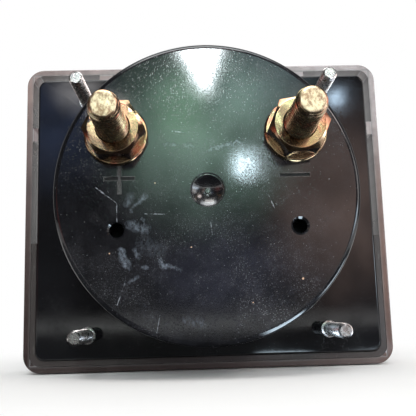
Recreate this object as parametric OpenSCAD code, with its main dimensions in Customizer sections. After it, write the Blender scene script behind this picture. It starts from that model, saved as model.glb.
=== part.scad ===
// Analog panel meter: a moving-coil movement in a black moulded case, behind a clear front cover.
// The panel face of the flange lies at y = 0. The dial faces -Y, and the terminals point to +Y.

/* [Front cover] */
// Width of the front
front_w = 80; // [76:1:100]
// Height of the front
front_h = 68; // [66:1:90]
// How far the cover stands in front of the panel
front_d = 16; // [16:0.5:24]
// Corner radius of the front
front_corner_r = 3.8; // [2.4:0.2:8]
// Wall of the clear cover
cover_wall = 1.4; // [1:0.1:1.8]
// Thickness of the clear window
window_t = 2; // [1.2:0.1:2.4]
// Rounding of the window's outer edge
window_edge_r = 1.4; // [0.4:0.2:2]
// How far the cover's rim stays behind the panel face
cover_setback = 0.4; // [0:0.1:1]
// Thickness of the black apron
apron_t = 1.2; // [0.8:0.1:1.4]
// Height of the apron's straight top edge, from the middle of the front
apron_top = -6; // [-8:0.5:-2]
// Radius of the apron's arch over the pivot
apron_arch_r = 8; // [6:0.5:10]

/* [Flange] */
// Band between the outside of the cover and the edge of the flange
rim_band = 2.7; // [2.4:0.1:4]
// Thickness of the flange
flange_t = 3; // [2.4:0.2:4]
// Corner radius of the flange
flange_corner_r = 2; // [1:0.2:4]
// Chamfer along the flange's edge on the panel face
flange_chamfer = 0.4; // [0.2:0.1:0.8]
// Distance of a mounting stud from the flange's side
stud_inset_x = 11.05; // [7:0.05:12]
// Distance of a mounting stud from the flange's top or bottom edge
stud_inset_z = 5.05; // [4.4:0.05:6]
// Diameter of a mounting stud
stud_d = 3; // [2.5:0.5:4]
// Free length of a mounting stud behind the panel face
stud_l = 15; // [8:1:25]
// Diameter of the collar that holds a mounting stud in the flange
stud_collar_d = 3.6; // [3.4:0.1:4.4]
// Diameter of a mounting stud's head
stud_head_d = 5.4; // [5:0.2:7]
// Thickness of a mounting stud's head
stud_head_t = 1.3; // [0.8:0.1:1.6]

/* [Barrel] */
// Diameter of the barrel
barrel_d = 58; // [58:1:61]
// Length of the barrel behind the panel face
barrel_l = 23; // [21:0.5:32]
// Wall of the barrel
barrel_wall = 1.8; // [1.4:0.1:2.4]
// Thickness of the rear wall
rear_wall = 2.5; // [2:0.1:3]
// Height of the barrel's axis above the middle of the front
barrel_up = 0.7; // [0:0.1:1.5]
// Rounding of the barrel's rear edge
barrel_edge_r = 0.8; // [0.3:0.1:1.5]

/* [Rear face] */
// Distance between the polarity marks
mark_spacing = 33; // [28:1:38]
// Height of the polarity marks above the barrel's axis
mark_up = 2.5; // [1:0.5:3]
// Length of a polarity mark's strokes
mark_size = 5.7; // [4:0.1:6]
// Width of a polarity mark's strokes
mark_stroke = 0.6; // [0.4:0.1:0.9]
// Depth of the engraved marks
mark_depth = 0.4; // [0.2:0.05:0.6]
// Diameter of the gate recess in the middle
gate_d = 6.3; // [5:0.1:8]
// Depth of the gate recess's step
gate_step = 0.4; // [0.2:0.05:0.6]
// Depth of the dimple below the step
gate_dimple = 0.9; // [0.5:0.05:1.2]
// Diameter of the sheared gate in the dimple
gate_nub_d = 1.2; // [0.8:0.1:2]

/* [Terminals] */
// Gap between the pad under a terminal and the barrel's wall
term_margin = 0.56; // [0.2:0.02:1.5]
// Height of the terminals above the barrel's axis
term_up = 10.8; // [9:0.1:11.5]
// Thread diameter of a terminal
term_d = 6; // [4:0.5:6]
// Diameter at which a terminal's thread meets the thread of its nut
term_pitch_d = 5.35; // [4.6:0.05:5.6]
// Free length of a terminal behind the barrel
term_l = 19; // [14:0.5:30]
// Chamfer on a terminal's tip
term_chamfer = 0.5; // [0.2:0.1:0.8]
// Height of a terminal's head inside the case
term_head_h = 4; // [2:0.1:4]
// Width of the terminal nut and the head across the flats
nut_af = 10; // [8:0.5:10]
// Height of the terminal nut
nut_h = 5; // [3:0.1:6]
// Outside diameter of the terminal washer
washer_d = 12; // [11:0.2:14]
// Thickness of the terminal washer
washer_t = 1.2; // [0.8:0.1:2]
// Diameter of the pad inside the case under a terminal
term_pad_d = 13; // [12:0.2:13]
// Height of that pad
term_pad_t = 1; // [0.5:0.1:2]
// Thickness of a solder tag
tag_t = 0.8; // [0.4:0.1:1]
// Width of a solder tag's tongue
tag_w = 4; // [3:0.2:5]
// Reach of a solder tag's tongue below the terminal
tag_reach = 9; // [8:0.5:10]
// Diameter of the connecting leads
lead_d = 1; // [0.6:0.1:1.2]
// How far the plus lead bows up between its ends
lead_bow = 5.4; // [5:0.1:6]

/* [Movement] */
// Diameter of the core magnet
core_d = 19; // [17:0.5:20]
// Air gap between the core magnet and the yoke
air_gap = 2.4; // [2.2:0.1:3]
// Radial thickness of the yoke ring
yoke_wall = 2.1; // [1.6:0.1:2.6]
// Length of the yoke ring and the core magnet
yoke_l = 9.4; // [7:0.2:9.6]
// Gap between the yoke ring and the barrel's wall
yoke_margin = 1.5; // [0.8:0.1:2]
// Width of the keys that centre the core magnet
key_w = 7; // [4:0.5:8]
// Length of the bosses that carry the movement
boss_l = 7; // [5:0.5:8]
// Diameter of the bosses
boss_d = 6; // [5.4:0.2:6]
// Bore of the bosses, open through the rear face
boss_bore = 2.7; // [2.5:0.1:3]
// Distance of the boss axes outside the yoke ring
boss_reach = 3.1; // [3:0.1:3.6]
// Height of the bosses above the pivot
boss_up = 4.5; // [4.4:0.1:6]
// Thickness of the movement frame's plate
frame_t = 1.5; // [1.2:0.1:2]
// Height of the frame's pillars across the pivot
pillar_h = 4.8; // [4:0.1:5]
// Thickness of the brass bridges
bridge_t = 1.2; // [1:0.1:1.6]
// Thread diameter of the screws that hold the bridges
bridge_screw_d = 1.4; // [1.2:0.1:1.5]
// Depth of the front bridge's screws in the pillars
front_bite = 4; // [2:0.5:6]
// Depth of the rear bridge's screws in the pillars
rear_bite = 2; // [1.5:0.1:2.2]
// Thread diameter of the jewel screws
jewel_d = 3; // [2.6:0.1:3.4]
// Reach of the front bridge's solder tail past the pillar
bridge_tail = 4; // [3:0.5:5]

/* [Moving coil] */
// Width of the coil along its slots
coil_w = 3.5; // [2.5:0.1:4]
// Thickness of the aluminium coil former
former_t = 0.3; // [0.2:0.05:0.4]
// Build-up of the winding on the former
winding_t = 1; // [0.6:0.05:1.1]
// Gap between the core magnet and the former
former_gap = 0.5; // [0.4:0.05:0.7]
// Diameter of the pivot staffs
staff_d = 1.2; // [1:0.1:1.6]
// Diameter of the bases that carry the pivot staffs on the coil
staff_base_d = 3.6; // [3:0.1:4.2]
// Diameter of the pivot tips
tip_d = 0.7; // [0.5:0.05:0.8]
// Length of the pointer from the pivot
pointer_l = 35; // [28:0.5:36]
// Width of the pointer at its root
pointer_w = 1.1; // [0.8:0.1:1.6]
// Thickness of the pointer
pointer_t = 0.3; // [0.2:0.05:0.4]
// Reach of the balance arms
balance_reach = 8; // [7.6:0.1:8.4]
// Outer radius of the hairsprings
spring_r = 4.2; // [3.6:0.1:4.4]
// Turns of a hairspring
spring_turns = 3.5; // [2.5:0.5:4.5]
// Width of the hairspring's strip
spring_w = 0.35; // [0.25:0.05:0.5]
// Thickness of the hairspring's strip
spring_t = 0.12; // [0.08:0.01:0.15]
// Angle that the pointer turns over the scale
scale_angle = 90; // [80:5:100]

/* [Dial] */
// Margin between the dial and the edge of the flange, at each side
dial_side_margin = 3.3; // [2.5:0.1:5]
// Margin between the dial and the top of the cover
dial_top_margin = 5; // [4.6:0.1:8]
// Height of the dial's lower edge above the pivot
dial_bottom_up = 3.6; // [3.2:0.1:4.4]
// Thickness of the dial plate
dial_t = 0.8; // [0.5:0.1:1]
// Height of the dial posts on the flange
dial_post_h = 2; // [1.5:0.1:3]
// Diameter of the dial posts
dial_post_d = 4.8; // [4:0.2:5]
// Inset of the dial screws from the dial's sides
dial_screw_inset = 3; // [2.6:0.1:3.2]
// Height of the dial screws above the pivot
dial_screw_up = 10; // [9:0.5:14]
// Thread diameter of the dial screws
dial_screw_d = 1.6; // [1.4:0.1:2]
// Radius from the pivot at which the pointer stops stand
stop_radius = 20; // [14:1:24]
// Diameter of the pointer stops
stop_d = 1; // [0.8:0.1:1.4]

/* [Zero adjuster] */
// Distance of the zero screw below the pivot
zero_drop = 9; // [8.6:0.1:11]
// Diameter of the zero screw's shaft
zero_shaft_d = 5; // [4:0.2:5.4]
// Diameter of the zero screw's head
zero_head_d = 8; // [6.5:0.1:9]
// Height of the zero screw's head
zero_head_h = 1.3; // [1:0.1:2]
// Offset of the eccentric pin from the zero screw's axis
zero_throw = 1.2; // [0.8:0.1:1.4]
// Diameter of the eccentric pin
zero_pin_d = 1.2; // [1:0.1:1.4]
// Thickness of the forked zero lever
lever_t = 0.5; // [0.4:0.05:0.6]

/* [Clearances] */
// Radial running clearance of a shaft in its bore
running_gap = 0.06; // [0.03:0.01:0.09]
// Clearance between pieces that are fitted together
seat_gap = 0.1; // [0.05:0.05:0.2]
// Clearance beside the eccentric pin in the fork
fork_gap = 0.15; // [0.12:0.01:0.2]
// Clearance between pieces that pass each other
free_gap = 0.4; // [0.3:0.05:0.5]

/* [Hidden] */
$fn = 48;
// Depth by which joined shapes run into each other
eps = 0.01;
// Length by which a cut runs past a face
over = 1;

// flange and barrel
flange_w = front_w - 2 * rim_band;
flange_h = front_h - 2 * rim_band;
stud_x = flange_w / 2 - stud_inset_x;
stud_z = flange_h / 2 - stud_inset_z;
barrel_in_r = barrel_d / 2 - barrel_wall;
rear_inside = barrel_l - rear_wall;
collar_sink = 0.05;
boss_root = 0.5;
boss_spare = 1;
screw_rim = 1.1;
movement_screw_head_h = 1.6;
dial_screw_head_h = 1.3;
dial_bite = 1.2;
hole_chamfer = 0.4;
gate_ledge = 0.4;

// movement, radially
core_r = core_d / 2;
core_chamfer = 0.4;
yoke_in_r = core_r + air_gap;
yoke_r = yoke_in_r + yoke_wall;
pivot_z = barrel_up - (barrel_in_r - yoke_r - yoke_margin);
former_in = core_r + former_gap;
winding_in = former_in + former_t;
winding_out = winding_in + winding_t;
ring_ledge = 0.3;
ring_lip = 0.5;
ring_in_r = yoke_in_r + ring_ledge;
ring_out_r = yoke_r + ring_lip;
boss_x = yoke_r + boss_reach;
boss_z = pivot_z + boss_up;
ear_wall = 0.4;
ear_r = boss_d / 2 + ear_wall;
pillar_gap = 0.2;
pillar_w = 3;
pillar_in_x = yoke_r + pillar_gap;
pillar_out_x = pillar_in_x + pillar_w;
rear_pillar_in_x = ring_in_r + pillar_gap;
rear_pillar_out_x = ring_out_r + 1.2;
pillar_drop = 1.2;
pillar_slope = 0.3;
rear_pillar_h = pillar_h - 2 * pillar_slope;
rear_pillar_drop = pillar_drop + pillar_slope;
bridge_hub_wall = 2.5;
bridge_hub_r = jewel_d / 2 + bridge_hub_wall;
bridge_screw_head_r = 1.35;
bridge_screw_head_h = 0.9;
bridge_hole_r = bridge_screw_d / 2 + seat_gap;
pillar_hole_r = bridge_screw_d / 2 + seat_gap / 2;

// movement, front to back
boss_front = rear_inside - boss_l;
frame_front = boss_front - frame_t;
yoke_front = frame_front - yoke_l;
coil_end_gap = 1;
former_front = yoke_front - coil_end_gap;
former_rear = frame_front + coil_end_gap;
winding_front = former_front - former_t - winding_t;
winding_rear = former_rear + former_t + winding_t;
staff_base_t = 0.5;
nose_gap = 0.15;
nose_in = 0.65;
rear_spring_front = winding_rear + staff_base_t + free_gap;
rear_spring_room = 1.05;
rear_bridge_front = rear_spring_front + spring_w + rear_spring_room;
rear_bridge_rear = rear_bridge_front + bridge_t;
rear_nose_over = 0.3;
rear_nose = rear_bridge_front - rear_nose_over;
dial_rear = -flange_t - dial_post_h;
dial_front = dial_rear - dial_t;
pointer_clear = 1.5;
pointer_rear = dial_front - pointer_clear;
pointer_front = pointer_rear - pointer_t;
hub_over = 0.35;
hub_front = pointer_front - hub_over;
front_spring_rear = hub_front - free_gap;
lever_rear = front_spring_rear - spring_w - free_gap;
lever_front = lever_rear - lever_t;
front_bridge_rear = lever_front - seat_gap;
front_bridge_front = front_bridge_rear - bridge_t;
hole_spare = 0.6;
front_hole_end = front_bridge_rear + front_bite + hole_spare;
rear_hole_end = rear_bridge_front - rear_bite - hole_spare;
front_nose_over = 0.05;
front_nose = lever_rear + front_nose_over;
lock_nut_t = 0.8;
lock_nut_wall = 0.8;
lock_nut_af = jewel_d + 2 * lock_nut_wall;
jewel_over = 0.35;
front_jewel_end = front_bridge_front - lock_nut_t - jewel_over;
rear_jewel_end = rear_bridge_rear + lock_nut_t + jewel_over;

// springs and balance
tip_end_gap = 0.1;
collet_wall = 0.6;
collet_over = 0.05;
collet_r = staff_d / 2 + collet_wall;
spring_end_gap = 0.05;
spring_in_r = collet_r + spring_end_gap;
anchor_r = 0.4;
anchor_reach = spring_r + spring_end_gap + anchor_r;
weight_r = 1;
weight_l = 2.2;
side_weight_r = 0.8;
side_weight_l = 1.2;
arm_w = 0.6;
weight_gap = 0.1;
weight_bore = arm_w / 2 + weight_gap;
winding_inset = 0.3;
pointer_hub_wall = 1.2;
pointer_hub_fit = 0.02;
point_l = 6;
rest_turn = -scale_angle / 2;

// cover, apron and dial
window_rear = -(front_d - window_t);
apron_rear = window_rear + apron_t;
cavity_w = front_w - 2 * cover_wall;
cavity_h = front_h - 2 * cover_wall;
cavity_r = front_corner_r - cover_wall;
rib_w = 3;
rib_seat = 1;
rib_place = 0.275;
dial_w = flange_w - 2 * dial_side_margin;
dial_top = front_h / 2 - dial_top_margin;
dial_bottom = pivot_z + dial_bottom_up;
dial_screw_x = dial_w / 2 - dial_screw_inset;
dial_screw_z = pivot_z + dial_screw_up;
dial_hole_floor = 0.8;
stop_angle = scale_angle / 2 + 6.4;
stop_over = 0.8;
zero_z = pivot_z - zero_drop;
pin_reach = zero_drop + zero_throw;

// terminals
term_r = barrel_in_r - term_pad_d / 2 - term_margin;
term_x = sqrt(pow(term_r, 2) - pow(term_up, 2));
term_z = barrel_up + term_up;
tag_rear = rear_inside - term_pad_t;
head_rear = tag_rear - tag_t;
nut_seat = barrel_l + washer_t;
nut_chamfer = 0.5;

// leads, each soldered to its tag and to its bridge
solder_gap = 0.05;
solder_off = lead_d / 2 + solder_gap;
tag_hold = 1;
lead_side = ear_r + lead_d / 2 + 1;
lead_step = ear_r + 0.6;
lead_lift = 0.65;

// zero adjuster
head_gap = 0.15;
lip_gap = 0.2;
lip_t = 0.4;
lip_w = 0.3;
head_bevel = 0.4;
slot_w = 1.1;
slot_deep = 0.8;
tine_w = 0.8;
fork_end_gap = 0.5;
lever_hub_wall = 1.3;

// ---------- shapes shared by the pieces ----------

// A flat outline drawn as (x, z), from y = low to y = high
module along_y(low, high) {
    translate([0, high, 0])
        rotate([90, 0, 0])
            linear_extrude(high - low)
                children();
}

// A profile drawn as (radius, y), turned about the Y axis
module turned_y() {
    rotate([-90, 0, 0])
        rotate_extrude()
            children();
}

module disc_y(r, low, high) {
    along_y(low, high) circle(r);
}

// A cone about the Y axis between two radii
module cone_y(r_low, r_high, low, high) {
    translate([0, low, 0])
        rotate([-90, 0, 0])
            cylinder(r1 = r_low, r2 = r_high, h = high - low);
}

module hex_y(af, low, high) {
    along_y(low, high) circle(r = af / sqrt(3), $fn = 6);
}

module at(x, z) {
    translate([x, 0, z]) children();
}

module at_pivot() {
    at(0, pivot_z) children();
}

// What turns with the coil, drawn with the pointer upright and set to the scale's zero
module moving() {
    at_pivot() rotate([0, rest_turn, 0]) children();
}

module rounded(w, h, r) {
    square([w - 2 * r, h], center = true);
    square([w, h - 2 * r], center = true);
    for (x = [-1, 1], z = [-1, 1])
        translate([x * (w / 2 - r), z * (h / 2 - r)])
            circle(r);
}

// A round-headed slotted screw whose head stands in front of y = seat
module slotted_screw(shank_r, shank_l, head_r, head_h, seat) {
    difference() {
        union() {
            disc_y(shank_r, seat - eps, seat + shank_l);
            disc_y(head_r, seat - 0.6 * head_h, seat);
            cone_y(0.7 * head_r, head_r, seat - head_h, seat - 0.6 * head_h);
        }
        translate([0, seat - head_h, 0])
            cube([0.3 * head_r, head_h, 3 * head_r], center = true);
    }
}

// ---------- housing ----------

module barrel_outside() {
    edge = barrel_d / 2 - barrel_edge_r;
    arc_steps = 6;
    turned_y()
        polygon(concat(
            [[0, -eps], [barrel_d / 2, -eps]],
            [for (i = [0:arc_steps])
                let (a = 90 * i / arc_steps)
                [edge + barrel_edge_r * cos(a), barrel_l - barrel_edge_r * (1 - sin(a))]],
            [[0, barrel_l]]));
}

module flange_plate() {
    along_y(-flange_t, -flange_chamfer)
        rounded(flange_w, flange_h, flange_corner_r);
    hull() {
        along_y(-flange_chamfer - eps, -flange_chamfer)
            rounded(flange_w, flange_h, flange_corner_r, $fn = 32);
        along_y(-eps, 0)
            rounded(flange_w - 2 * flange_chamfer, flange_h - 2 * flange_chamfer,
                flange_corner_r - flange_chamfer, $fn = 32);
    }
}

module polarity_mark(strokes) {
    for (turn = strokes)
        translate([0, barrel_l, 0])
            rotate([0, turn, 0])
                cube([mark_size, 2 * mark_depth, mark_stroke], center = true);
}

module gate_recess() {
    dimple_r = gate_d / 2 - gate_ledge;
    ball_r = (pow(dimple_r, 2) + pow(gate_dimple, 2)) / (2 * gate_dimple);
    difference() {
        union() {
            disc_y(gate_d / 2, barrel_l - gate_step, barrel_l + over);
            translate([0, barrel_l - gate_step - gate_dimple + ball_r, 0])
                rotate([90, 0, 0])
                    sphere(ball_r);
        }
        disc_y(gate_nub_d / 2, barrel_l - 2 * gate_dimple, barrel_l - gate_dimple);
    }
}

module stud_places() {
    for (x = [-1, 1], z = [-1, 1])
        at(x * stud_x, z * stud_z)
            children();
}

module rear_case() {
    color([0.05, 0.05, 0.06])
    difference() {
        union() {
            difference() {
                union() {
                    flange_plate();
                    at(0, barrel_up) barrel_outside();
                }
                at(0, barrel_up) disc_y(barrel_in_r, -flange_t - over, rear_inside);
            }
            for (side = [-1, 1]) {
                at(side * boss_x, boss_z) disc_y(boss_d / 2, boss_front, rear_inside + boss_root);
                at(side * term_x, term_z) disc_y(term_pad_d / 2, tag_rear, rear_inside + boss_root);
                at(side * dial_screw_x, dial_screw_z)
                    disc_y(dial_post_d / 2, dial_rear, -flange_t + boss_root);
            }
        }
        for (side = [-1, 1]) {
            at(side * boss_x, boss_z) {
                disc_y(boss_bore / 2, boss_front - over, barrel_l + over);
                cone_y(boss_bore / 2, boss_bore / 2 + hole_chamfer,
                    barrel_l - hole_chamfer, barrel_l + eps);
            }
            at(side * term_x, term_z)
                disc_y(term_d / 2 + seat_gap, tag_rear - over, barrel_l + over);
            at(side * dial_screw_x, dial_screw_z)
                disc_y(dial_screw_d / 2 + seat_gap / 2, dial_rear - over, -dial_hole_floor);
        }
        stud_places() {
            disc_y(stud_collar_d / 2 + seat_gap / 2, -flange_t - over, over);
            disc_y(stud_head_d / 2 + seat_gap, -flange_t - over, -flange_t + stud_head_t);
        }
        at(mark_spacing / 2, barrel_up + mark_up) polarity_mark([0, 90]);
        at(-mark_spacing / 2, barrel_up + mark_up) polarity_mark([0]);
        at(0, barrel_up) gate_recess();
    }
}

module cover_outside() {
    side = front_d - window_edge_r;
    hull() {
        along_y(-side, -cover_setback)
            rounded(front_w, front_h, front_corner_r, $fn = 32);
        for (a = [30:30:90])
            let (inset = window_edge_r * (1 - cos(a)), step = window_edge_r * sin(a))
            along_y(-side - step, -side)
                rounded(front_w - 2 * inset, front_h - 2 * inset, front_corner_r - inset, $fn = 32);
    }
}

// Ribs that centre the flange and stop it, reaching in from walls at half the given spans
module seat_ribs(wall_x, wall_z, front, top, bottom, shift) {
    seat = rim_band - cover_wall - seat_gap;
    for (part = [[front, -flange_t, seat + rib_seat], [-flange_t - eps, -cover_setback, seat]])
        let (reach = part[2])
        along_y(part[0], part[1])
            for (side = [-1, 1]) {
                translate([side * (wall_x - reach / 2), shift])
                    square([reach, rib_w], center = true);
                for (end = [if (top) 1, if (bottom) -1])
                    translate([side * front_w * rib_place, end * (wall_z - reach / 2)])
                        square([rib_w, reach], center = true);
            }
}

module front_cover() {
    color([0.82, 0.82, 0.85, 0.4])
    difference() {
        union() {
            difference() {
                cover_outside();
                along_y(window_rear, over) rounded(cavity_w, cavity_h, cavity_r);
            }
            seat_ribs(cavity_w / 2, cavity_h / 2, window_rear - eps, true, false, front_h * rib_place);
        }
        at(0, zero_z) disc_y(zero_shaft_d / 2 + running_gap, -front_d - over, window_rear + over);
    }
}

module apron_outline() {
    rounded(cavity_w - 2 * seat_gap, cavity_h - 2 * seat_gap, cavity_r - seat_gap);
}

module below_apron_top() {
    translate([-front_w / 2, -front_h]) square([front_w, front_h + apron_top]);
}

module apron() {
    color([0.04, 0.04, 0.045])
    difference() {
        union() {
            along_y(window_rear, apron_rear)
                intersection() {
                    apron_outline();
                    union() {
                        below_apron_top();
                        translate([0, pivot_z]) circle(apron_arch_r);
                    }
                }
            along_y(apron_rear - eps, -cover_setback)
                difference() {
                    intersection() {
                        apron_outline();
                        below_apron_top();
                    }
                    rounded(flange_w + 2 * seat_gap, flange_h + 2 * seat_gap, flange_corner_r + seat_gap);
                }
            intersection() {
                seat_ribs(flange_w / 2 + 2 * seat_gap, flange_h / 2 + 2 * seat_gap, apron_rear - eps,
                    false, true, -front_h * rib_place);
                along_y(apron_rear - over, -flange_t) apron_outline();
            }
        }
        at(0, zero_z) disc_y(zero_shaft_d / 2 + running_gap, window_rear - over, apron_rear + over);
    }
}

// ---------- fasteners and terminals ----------

module mounting_stud(x, z) {
    color([0.72, 0.72, 0.72])
    at(x * stud_x, z * stud_z) {
        disc_y(stud_head_d / 2, -flange_t, -flange_t + stud_head_t);
        disc_y(stud_collar_d / 2, -flange_t, -collar_sink);
        disc_y(stud_d / 2, -flange_t, stud_l - stud_d / 10);
        cone_y(stud_d / 2, stud_d / 2 - stud_d / 10, stud_l - stud_d / 10, stud_l);
    }
}

// Threaded stud with a hexagon head inside the case, drawn at its pitch diameter inside the nut
module terminal_stud(side) {
    tip = barrel_l + term_l;
    color([0.78, 0.66, 0.36])
    at(side * term_x, term_z) {
        hex_y(nut_af, head_rear - term_head_h, head_rear);
        disc_y(term_d / 2, head_rear - eps, nut_seat);
        disc_y(term_pitch_d / 2, nut_seat - eps, nut_seat + nut_h + eps);
        disc_y(term_d / 2, nut_seat + nut_h, tip - term_chamfer);
        cone_y(term_d / 2, term_d / 2 - term_chamfer, tip - term_chamfer, tip);
    }
}

module terminal_washer(side) {
    color([0.80, 0.67, 0.38])
    at(side * term_x, term_z)
        along_y(barrel_l, nut_seat)
            difference() {
                circle(washer_d / 2);
                circle(term_d / 2 + 2 * seat_gap);
            }
}

// Hexagon nut, its corners turned off at both ends
module terminal_nut(side, turn) {
    low = nut_seat;
    corner = nut_af / sqrt(3);
    bevel = corner - 0.475 * nut_af;
    color([0.80, 0.66, 0.36])
    at(side * term_x, term_z)
        difference() {
            intersection() {
                rotate([0, turn, 0]) hex_y(nut_af, low, low + nut_h);
                union() {
                    cone_y(corner - bevel, corner, low, low + bevel / 2);
                    disc_y(corner, low + bevel / 2, low + nut_h - bevel / 2);
                    cone_y(corner, corner - bevel, low + nut_h - bevel / 2, low + nut_h);
                }
            }
            disc_y(term_pitch_d / 2 + running_gap, low - over, low + nut_h + over);
            cone_y(term_d / 2 + running_gap, term_d / 2 + nut_chamfer, low + nut_h - nut_chamfer,
                low + nut_h + eps);
        }
}

module solder_tag(side) {
    color([0.80, 0.72, 0.48])
    at(side * term_x, term_z)
        along_y(head_rear, tag_rear)
            difference() {
                union() {
                    circle(nut_af / 2);
                    translate([-tag_w / 2, -tag_reach]) square([tag_w, tag_reach]);
                }
                circle(term_d / 2 + seat_gap);
            }
}

// An insulated wire through the given points
module lead(route) {
    for (i = [0:len(route) - 2])
        hull()
            for (end = [i, i + 1])
                translate(route[end]) sphere(d = lead_d, $fn = 12);
}

// Where a lead is soldered to the tongue of its tag
function tag_end(side) = [side * term_x, head_rear - solder_off, term_z - tag_reach + tag_hold];

module lead_plus() {
    start = tag_end(1);
    end = [bridge_hub_r + tag_hold, rear_bridge_rear + solder_off, pivot_z - pillar_drop - tag_hold];
    color([0.65, 0.12, 0.10])
        lead([start, [(start.x + end.x) / 2, end.y, (start.z + end.z) / 2 + lead_bow], end]);
}

module lead_minus() {
    end = [-pillar_out_x - bridge_tail / 2, front_bridge_rear + solder_off, pivot_z - pillar_drop];
    color([0.12, 0.12, 0.13])
        lead([
            tag_end(-1),
            [-boss_x - lead_side, frame_front, boss_z + lead_step],
            [-boss_x - lead_side, end.y + lead_lift, boss_z - lead_step],
            end
        ]);
}

// ---------- magnet system and bridges ----------

module movement_frame() {
    color([0.16, 0.15, 0.15])
    difference() {
        union() {
            at_pivot() along_y(frame_front, boss_front)
                difference() {
                    union() {
                        circle(ring_out_r);
                        for (side = [-1, 1]) {
                            translate([side * boss_x, boss_up]) circle(ear_r);
                            translate([side * (boss_x + ring_in_r) / 2, (boss_up - pillar_drop) / 2])
                                square([boss_x - ring_in_r, boss_up + pillar_drop], center = true);
                            translate([side * (pillar_out_x + rear_pillar_in_x) / 2, -pillar_drop])
                                square([pillar_out_x - rear_pillar_in_x, pillar_h], center = true);
                        }
                    }
                    circle(ring_in_r);
                }
            for (side = [-1, 1]) {
                at(side * (pillar_in_x + pillar_out_x) / 2, pivot_z - pillar_drop)
                    along_y(front_bridge_rear, frame_front + eps)
                        square([pillar_out_x - pillar_in_x, pillar_h], center = true);
                at(side * (rear_pillar_in_x + rear_pillar_out_x) / 2, pivot_z - rear_pillar_drop)
                    along_y(boss_front - eps, rear_bridge_front)
                        square([rear_pillar_out_x - rear_pillar_in_x, rear_pillar_h], center = true);
            }
        }
        for (side = [-1, 1]) {
            at(side * boss_x, boss_z)
                disc_y(boss_bore / 2 + seat_gap, frame_front - over, boss_front + over);
            front_bridge_screw_place(side)
                disc_y(pillar_hole_r, front_bridge_rear - over, front_hole_end);
            rear_bridge_screw_place(side)
                disc_y(pillar_hole_r, rear_hole_end, rear_bridge_front + over);
        }
    }
}

module front_bridge_screw_place(side) {
    at(side * (pillar_in_x + pillar_out_x) / 2, pivot_z - pillar_drop) children();
}

module rear_bridge_screw_place(side) {
    at(side * (rear_pillar_in_x + rear_pillar_out_x) / 2, pivot_z - rear_pillar_drop) children();
}

module movement_screw(side) {
    color([0.70, 0.70, 0.70])
    at(side * boss_x, boss_z)
        slotted_screw(boss_bore / 2 - seat_gap / 2, boss_l - boss_spare, boss_bore / 2 + screw_rim,
            movement_screw_head_h, frame_front);
}

module yoke_ring() {
    color([0.62, 0.63, 0.65])
    at_pivot() along_y(yoke_front, frame_front)
        difference() {
            circle(yoke_r);
            circle(yoke_in_r);
        }
}

module core_magnet() {
    edge_r = core_r - core_chamfer;
    color([0.30, 0.30, 0.31])
    at_pivot()
        turned_y()
            polygon([
                [0, yoke_front], [edge_r, yoke_front], [core_r, yoke_front + core_chamfer],
                [core_r, frame_front - core_chamfer], [edge_r, frame_front], [0, frame_front]
            ]);
}

// Brass keys that hold the core in the yoke, where the coil's sides never reach
module core_key(side) {
    inset = 0.5;
    color([0.78, 0.62, 0.33])
    at_pivot() along_y(yoke_front + inset, frame_front - inset)
        intersection() {
            difference() {
                circle(yoke_in_r - seat_gap / 2);
                circle(core_r + seat_gap / 2);
            }
            translate([0, side * yoke_in_r]) square([key_w, 2 * yoke_wall + 2 * air_gap], center = true);
        }
}

module bridge_outline(half_l, h, drop, tail) {
    translate([-half_l - tail, -drop - h / 2]) square([2 * half_l + tail, h]);
    circle(bridge_hub_r);
}

module rear_bridge() {
    color([0.78, 0.64, 0.34])
    difference() {
        union() {
            at_pivot() along_y(rear_bridge_front, rear_bridge_rear) {
                bridge_outline(rear_pillar_out_x, rear_pillar_h, rear_pillar_drop, 0);
                translate([-arm_w, 0]) square([2 * arm_w, anchor_reach + anchor_r + ring_ledge]);
            }
            at(0, pivot_z + anchor_reach) disc_y(anchor_r, rear_spring_front, rear_bridge_front + eps);
        }
        at_pivot()
            disc_y(jewel_d / 2 + running_gap, rear_bridge_front - over, rear_bridge_rear + over);
        for (side = [-1, 1])
            rear_bridge_screw_place(side)
                disc_y(bridge_hole_r, rear_bridge_front - over, rear_bridge_rear + over);
    }
}

module front_bridge() {
    color([0.78, 0.64, 0.34])
    difference() {
        at_pivot() along_y(front_bridge_front, front_bridge_rear)
            bridge_outline(pillar_out_x, pillar_h, pillar_drop, bridge_tail);
        at_pivot()
            disc_y(jewel_d / 2 + running_gap, front_bridge_front - over, front_bridge_rear + over);
        for (side = [-1, 1])
            front_bridge_screw_place(side)
                disc_y(bridge_hole_r, front_bridge_front - over, front_bridge_rear + over);
    }
}

module front_bridge_screw(side) {
    color([0.70, 0.70, 0.70])
    front_bridge_screw_place(side)
        slotted_screw(bridge_screw_d / 2, bridge_t + front_bite, bridge_screw_head_r, bridge_screw_head_h,
            front_bridge_front);
}

module rear_bridge_screw(side) {
    color([0.70, 0.70, 0.70])
    rear_bridge_screw_place(side)
        translate([0, 2 * rear_bridge_rear, 0])
            mirror([0, 1, 0])
                slotted_screw(bridge_screw_d / 2, bridge_t + rear_bite, bridge_screw_head_r,
                    bridge_screw_head_h, rear_bridge_rear);
}

// Jewel screw with its cup at y = nose, pointing towards the coil from y = back
module jewel_screw(nose, back) {
    inward = sign(nose - back);
    cup = nose - inward * nose_in;
    color([0.82, 0.70, 0.42])
    at_pivot()
        difference() {
            disc_y(jewel_d / 2, min(nose, back), max(nose, back));
            disc_y(tip_d / 2 + running_gap, min(nose + inward, cup), max(nose + inward, cup));
            translate([0, back, 0]) cube([0.5, 1.2, 2 * jewel_d], center = true);
        }
}

module lock_nut(low) {
    color([0.80, 0.66, 0.38])
    at_pivot()
        difference() {
            hex_y(lock_nut_af, low, low + lock_nut_t);
            disc_y(jewel_d / 2 + running_gap, low - over, low + lock_nut_t + over);
        }
}

// ---------- moving coil ----------

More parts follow.
